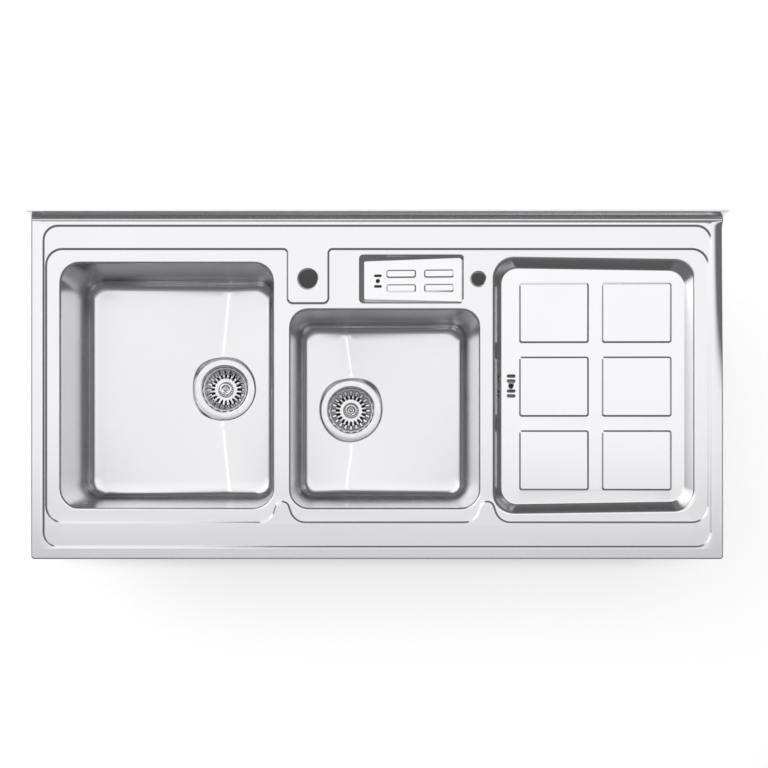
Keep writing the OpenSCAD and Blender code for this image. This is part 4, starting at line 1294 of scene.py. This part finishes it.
for name, (pan, r, spigot_x, head_r) in COLLECTORS.items():
    (x, y), rim_z = pan["drain"], cup_height(pan, r)
    cup, seal, screw = Face(), Face(), Face()
    wall = r - COLLECTOR_WALL
    turned(cup, soften([(0, -COLLECTOR_H), (r - 1.5, -COLLECTOR_H), (r, 1.5 - COLLECTOR_H), (r, 0),
                        (wall, 0), (wall, 2 - COLLECTOR_H), (4.5, 2 - COLLECTOR_H), (4.5, 0),
                        (2.1, 0), (2.1, 3 - COLLECTOR_H), (0, 3 - COLLECTOR_H)], 0.6, 3,
                       closed=False), 96, spot_frame(x, y, rim_z), closed=False)
    for k in range(12):
        a = 2 * math.pi * (k + 0.5) / 12
        rib = spot_frame(x + (r - 0.4) * math.cos(a), y + (r - 0.4) * math.sin(a), rim_z - 6.2, a)
        block(cup, rib, (1.4, 1.8, 9.0), 0.3, 0.3)
    down = spot_frame(x + spigot_x, y, rim_z - COLLECTOR_H) @ Matrix.Rotation(math.pi, 4, "X")
    turned(cup, soften([(SPIGOT_BORE, -0.5), (13, -0.5), (13, 2.9), *barbed(2.9, 28.0)], 0.5, 2),
           48, down)
    solid(name + "_collector_cup", cup, name + "_collector", "white_plastic", white_plastic)
    under = lambda px, py, p=pan: WET - pan_depth(p, px) - SHEET - 0.05
    loops = [seal.loop(circle((x, y), q, 72), z) for q, z in (
        (r - 0.3, rim_z + 0.05), (r, rim_z + 0.6), (r - 0.2, under), (r - 4.3, under),
        (r - 4.5, rim_z + 0.6), (r - 4.2, rim_z + 0.05))]
    for a, b in zip(loops, loops[1:] + loops[:1]):
        seal.strip(a, b)
    solid(name + "_collector_ring", seal, name + "_collector_seal", "black_rubber", rubber)
    head = WET - pan_depth(pan, x) - 0.5
    turned(screw, soften([(0, rim_z - COLLECTOR_H + 4), (1.9, rim_z - COLLECTOR_H + 4.6),
                          (1.9, head - 2), (head_r, head - 0.3), (head_r - 0.3, head),
                          (1.5, head), (1.2, head - 1.2), (0, head - 1.4)], 0.25, 2,
                         closed=False), 32, spot_frame(x, y, 0), closed=False)
    solid(name + "_collector_bolt", screw, name + "_collector_screw", "screw_steel", dark_screw)
print("collectors made")

# %% Geometry Nodes: a corrugated hose along a curve
given, sockets, HOSE_KEYS = flow("Corrugated hose", (
    ("Geometry", "NodeSocketGeometry"), ("Radius", "NodeSocketFloat"),
    ("Depth", "NodeSocketFloat"), ("Pitch", "NodeSocketFloat"), ("Cuff", "NodeSocketFloat"),
    ("Material", "NodeSocketMaterial")))
even = given.node("GeometryNodeResampleCurve", {"mode": "LENGTH"}, {
    "Curve": sockets["Geometry"], "Length": sockets["Pitch"] / 6.0})
along = given.node("GeometryNodeSplineParameter", out="Length")
whole = given.node("GeometryNodeSplineLength", out="Length")
ahead = given.node("ShaderNodeMath", {"operation": "MINIMUM"}, {0: along, 1: whole - along})
wave = given.node("ShaderNodeMath", {"operation": "COSINE"}, {
    0: along / sockets["Pitch"] * 2 * math.pi})
groove = (1 - wave) * 0.5 * (ahead - sockets["Cuff"]).within(0.0, 0.002)
thick = given.node("GeometryNodeSetCurveRadius", sockets={
    "Curve": even, "Radius": sockets["Radius"] - sockets["Depth"] * groove})
ring = given.node("GeometryNodeCurvePrimitiveCircle", sockets={"Resolution": 28, "Radius": 1.0})
sweep = given.node("GeometryNodeCurveToMesh", sockets={
    "Curve": thick, "Profile Curve": ring, "Scale": given.node("GeometryNodeInputRadius")})
hose_tree = finish_flow(given, sweep, sockets["Material"])

# %% Hoses
HOSE_R, HOSE_LEVEL, HOSE_BEND, HOSE_STOP = 12.0, SEAT_Z + INLET_Z, 45.0, 52.0
HOSE_DEPTH, HOSE_PITCH, HOSE_CUFF = 1.3, 4.2, 17.0
HOSES = {"drainer": (Vector(SMALL["waste"]), DRAINER_FROM),
         "tray": (Vector(LARGE["waste"]), TRAY_FROM)}
for name, (at, start) in HOSES.items():
    way, reach = (start - at).normalized(), (start - at).length
    pan, r = COLLECTORS[name][:2]
    top = cup_height(pan, r) - COLLECTOR_H - 3.0
    path = [(reach, top), (reach, HOSE_LEVEL + HOSE_BEND)]
    path += [(reach - HOSE_BEND * (1 - math.cos(a)), HOSE_LEVEL + HOSE_BEND * (1 - math.sin(a)))
             for a in (math.radians(3 * k) for k in range(1, 30))]
    path += [(reach - HOSE_BEND, HOSE_LEVEL), (HOSE_STOP + 0.1, HOSE_LEVEL)]
    curve = bpy.data.curves.new(name + " route", "CURVE")
    curve.dimensions = "3D"
    spline = curve.splines.new("POLY")
    spline.points.add(len(path) - 1)
    for point, (along, z) in zip(spline.points, path):
        spot = at + way * along
        point.co = (spot.x * MM, spot.y * MM, z * MM, 1)
    data = run_flow(hose_tree, HOSE_KEYS, curve, name + " sweep", Radius=HOSE_R * MM,
                    Depth=HOSE_DEPTH * MM, Pitch=HOSE_PITCH * MM, Cuff=HOSE_CUFF * MM,
                    Material=hose_plastic)
    hose = piece(name + "_hose_swept", data, node=name + "_hose", slot="hose_plastic",
                 material=hose_plastic, smooth=60)
    thicken(hose, 1.0, weigh=False)
    print(name, "hose:", len(data.polygons), "faces",
          [round(c, 4) for c in hose.data.vertices[0].co])

# %% Worm-drive clips
CLIP_R, CLIP_W = HOSE_R + 0.08, 9.0


def clip(face, frame):
    """A steel band with its screw housing; the screw lies along the band's tangent."""
    turned(face, soften([(CLIP_R, 0), (CLIP_R + 0.85, 0), (CLIP_R + 0.85, CLIP_W),
                         (CLIP_R, CLIP_W)], 0.3, 2), 64, frame)
    turned(face, soften([(CLIP_R + 0.7, 1.2), (CLIP_R + 1.0, 1.6), (CLIP_R + 1.0, CLIP_W - 1.6),
                         (CLIP_R + 0.7, CLIP_W - 1.2)], 0.1, 1), 64, frame)
    housing = frame @ Matrix.Translation((CLIP_R + 2.6, 0, CLIP_W / 2))
    block(face, housing, (5.0, 9.0, 8.0), 1.6, 0.6)
    screw = housing @ Matrix.Rotation(math.pi / 2, 4, "X")
    turned(face, soften([(0, -5.0), (2.4, -5.0), (2.4, 5.4), (0, 5.4)], 0.3, 1, closed=False), 24,
           screw, closed=False)
    turned(face, soften([(0, 4.6), (3.1, 4.6), (3.1, 7.0), (1.2, 7.0), (1.0, 6.2), (0, 6.2)], 0.3,
                        1, closed=False), 6, screw, closed=False)


clips = Face()
for name, (at, start) in HOSES.items():
    pan, r = COLLECTORS[name][:2]
    top = cup_height(pan, r) - COLLECTOR_H - 3.0
    clip(clips, spot_frame(start.x, start.y, top - 16))
    way = start - at
    clip(clips, spot_frame(*at, HOSE_LEVEL, math.atan2(way.y, way.x))
         @ spot_frame(HOSE_STOP + 7, 0, 0, lie=True))
solid("hose_clip_set", clips, "hose_clips", "screw_steel", screw_steel)
print("clips made")

# %% [markdown]
# ## Stiffeners and the tap plate
# Hat-shaped rails of galvanised sheet are glued under the deck, because half a square metre of
# one-millimetre steel would drum and sag. They are rolled from strip: a section with round
# bends, carried along a line, and thickened as the sheets above.

# %% Stiffeners and tap plate
HAT_W, HAT_H, HAT_BRIM, HAT_T = 34.0, 18.0, 8.0, 1.2
UNDER_DECK = STEP_LEVEL - SHEET


def hat_rail(name, node, frame, length):
    """A rail along the x axis of a frame, with its brims level with the frame's origin."""
    w, k = HAT_W / 2, HAT_W / 2 - HAT_BRIM
    section = bent([(-w, -0.1), (-k, -0.1, 2.0), (-k, -HAT_H + HAT_T, 2.0),
                    (k, -HAT_H + HAT_T, 2.0), (k, -0.1, 2.0), (w, -0.1)], 4)
    face = Face()
    count = int(length / 12)
    rows = [face.loop([frame @ Vector((length * (i / count - 0.5), p.x, p.y)) for p in section],
                      None) for i in range(count + 1)]
    for a, b in zip(rows, rows[1:]):
        face.strip(a, b, closed=False)
    rail = piece(name, face.mesh(name), node=node, slot="galvanised_steel", material=galvanised,
                 smooth=30)
    thicken(rail, HAT_T - 0.1, weigh=False)


RAIL_LENGTH, DRAINER_RAIL_LENGTH = 1080, 380
hat_rail("front_rail", "front_stiffener", spot_frame(0, -257, UNDER_DECK), RAIL_LENGTH)
hat_rail("rear_rail", "rear_stiffener", spot_frame(0, 258, UNDER_DECK), RAIL_LENGTH)
mid_x = 381.5
tilt = math.atan(pan_slope(DRAINER_SPEC))
below = spot_frame(mid_x, 1, WET - pan_depth(DRAINER_SPEC, mid_x) - SHEET - 0.1)
hat_rail("drainer_rail", "drainer_stiffener", below @ Matrix.Rotation(-tilt, 4, "Y")
         @ Matrix.Rotation(math.pi / 2, 4, "Z"), DRAINER_RAIL_LENGTH)
backing = Face()
plate(backing, lambda inset: fillet(box_corners((TAP[0], TAP[1] + 5), (33, 44), 6), inset, 6),
      [lambda inset: circle(TAP, TAP_R + inset, 72)], STEP_LEVEL - SHEET - 2.0,
      STEP_LEVEL - SHEET - 0.05, 0.3)
solid("tap_backing", backing, "tap_plate", "galvanised_steel", galvanised)
print("rails and tap plate made")

# %% [markdown]
# ## Floor, camera and light
# The sink is seen from straight above. Polished sheet shows nothing but what it mirrors, so the
# light is built for it: bright overhead, darker towards the horizon, and a broad soft light on
# one side that draws a bright line on every rim that faces it.

# %% Floor
FLOOR_HALF, FLOOR_PAINTED_GLOW = 30.0, 0.62


def pale_floor():
    """A floor with a painted glow round the sink that fades further out, and a painted shadow where the sink stands:
    its colour is dark there and it has no glow.
    """
    data = bpy.data.meshes.new("floor")
    size, z = FLOOR_HALF, cad_box[0][2] - 0.002
    data.from_pydata([(x * size, y * size, z) for x, y in ((-1, -1), (1, -1), (1, 1), (-1, 1))],
                     [], [(0, 1, 2, 3)])
    floor = bpy.data.objects.new("floor", data)
    bpy.context.scene.collection.objects.link(floor)
    paint = Recipe("Pale floor", Roughness=0.9)
    x, y, _ = paint.split(paint.place())
    far = paint.length(x, y)
    # Painted shadow: over the sink's footprint the floor's colour is dark and its glow is off; outside it the colour
    # is pale.
    x_out = paint.node("ShaderNodeMath", {"operation": "ABSOLUTE"}, {0: x}).within(0.50, 0.66)
    y_out = paint.node("ShaderNodeMath", {"operation": "ABSOLUTE"}, {0: y}).within(0.25, 0.35)
    outside_painted_shadow = 1 - (1 - x_out) * (1 - y_out)
    # Painted glow: emission round the sink, weaker from one metre out to 1.9 metres.
    glow = paint.blend(outside_painted_shadow * far.within(1.0, 1.9, 1.0, 0.25), (0, 0, 0, 1), (1, 1, 1, 1))
    # Painted shadow colour: dark grey under the sink, pale grey elsewhere.
    shade = paint.blend(outside_painted_shadow, (0.20, 0.20, 0.20, 1), (0.9, 0.9, 0.9, 1))
    paint.shader.inputs["Emission Strength"].default_value = FLOOR_PAINTED_GLOW
    data.materials.append(paint.feed(Emission_Color=glow, Base_Color=shade))
    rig.stage(floor)


pale_floor()

# %% Camera
camera_data = bpy.data.cameras.new("camera")
camera = bpy.data.objects.new("camera", camera_data)
bpy.context.scene.collection.objects.link(camera)
camera_data.sensor_width = 36.0
camera_data.lens = 56.3
camera.location = (-0.048, -0.084, 2.12)
camera.rotation_euler = (0, 0, 0)
camera_data.shift_x, camera_data.shift_y = 0.045, 0.066
camera_data.clip_end = 60
bpy.context.scene.camera = camera

# %% World and lights
scene = bpy.context.scene
scene.view_settings.view_transform = "Standard"
scene.view_settings.look = "None"
scene.view_settings.exposure = 0.0
scene.view_settings.gamma = 1.0


# grey of the sky at each height of a direction, from the horizon to straight up
LOW_SKY = ((0.0, 0.52), (0.07, 0.46), (0.13, 0.10), (0.2, 0.08), (0.38, 0.13), (0.52, 0.17),
           (0.8, 0.15), (0.93, 0.28), (1.0, 0.42))
PANEL_LEVEL = 1.10


def studio_world():
    """A dim sky with one large soft panel overhead, leaning to the left and to the wall. The
    panel is bounded by how far a direction leans across and along for each step up."""
    world = bpy.data.worlds.new("studio")
    world.use_nodes = True
    scene.world = world
    sky = Graph(world.node_tree)
    sky.tree.nodes.clear()
    x, y, z = sky.split(sky.node("ShaderNodeTexCoord", out="Generated"))
    up = sky.node("ShaderNodeMath", {"operation": "MAXIMUM"}, {0: z, 1: 0.04})
    low = sky.node("ShaderNodeValToRGB", {"stops": [(at, (v, v, v * 1.02))
                                                    for at, v in LOW_SKY]}, {0: z})

    def soft_edge(value, dark, bright):
        return sky.node("ShaderNodeMapRange", {"interpolation_type": "SMOOTHSTEP"}, {
            0: value, 1: min(dark, bright), 2: max(dark, bright),
            3: float(dark > bright), 4: float(bright > dark)})

    across, along = x / up, y / up
    panel = (soft_edge(across, -2.0, -0.7) * soft_edge(across, 0.72, 0.36)
             * soft_edge(along, -0.20, 0.0) * soft_edge(along, 1.1, 0.45))
    light = sky.blend(panel, low, (PANEL_LEVEL, PANEL_LEVEL, PANEL_LEVEL * 1.005, 1))
    glow = sky.node("ShaderNodeBackground", sockets={"Color": light})
    out = sky.tree.nodes.new("ShaderNodeOutputWorld")
    sky.tree.links.new(glow.socket, out.inputs["Surface"])


def soft_light(name, at, aim, size, watts):
    data = bpy.data.lights.new(name, "AREA")
    data.shape, data.size, data.size_y, data.energy = "RECTANGLE", size[0], size[1], watts
    lamp = bpy.data.objects.new(name, data)
    bpy.context.scene.collection.objects.link(lamp)
    lamp.location = at
    lamp.rotation_mode = "QUATERNION"
    lamp.rotation_quaternion = (Vector(aim) - Vector(at)).to_track_quat("-Z", "Y")


studio_world()
soft_light("side light", (-2.2, 2.4, 2.4), (0, 0, 0), (3.6, 2.6), 26)
print("camera", tuple(round(v, 3) for v in camera.location))

# %% [markdown]
# ## Sizes for comparison, and the end
# The visual model may not be larger than the CAD model, so both boxes are written out.

# %% Write the boxes and finish
with open("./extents.json", "w") as f:
    json.dump({"cad": cad_box, "visual": [list(corner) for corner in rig.bounds()]}, f)
print(open("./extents.json").read())
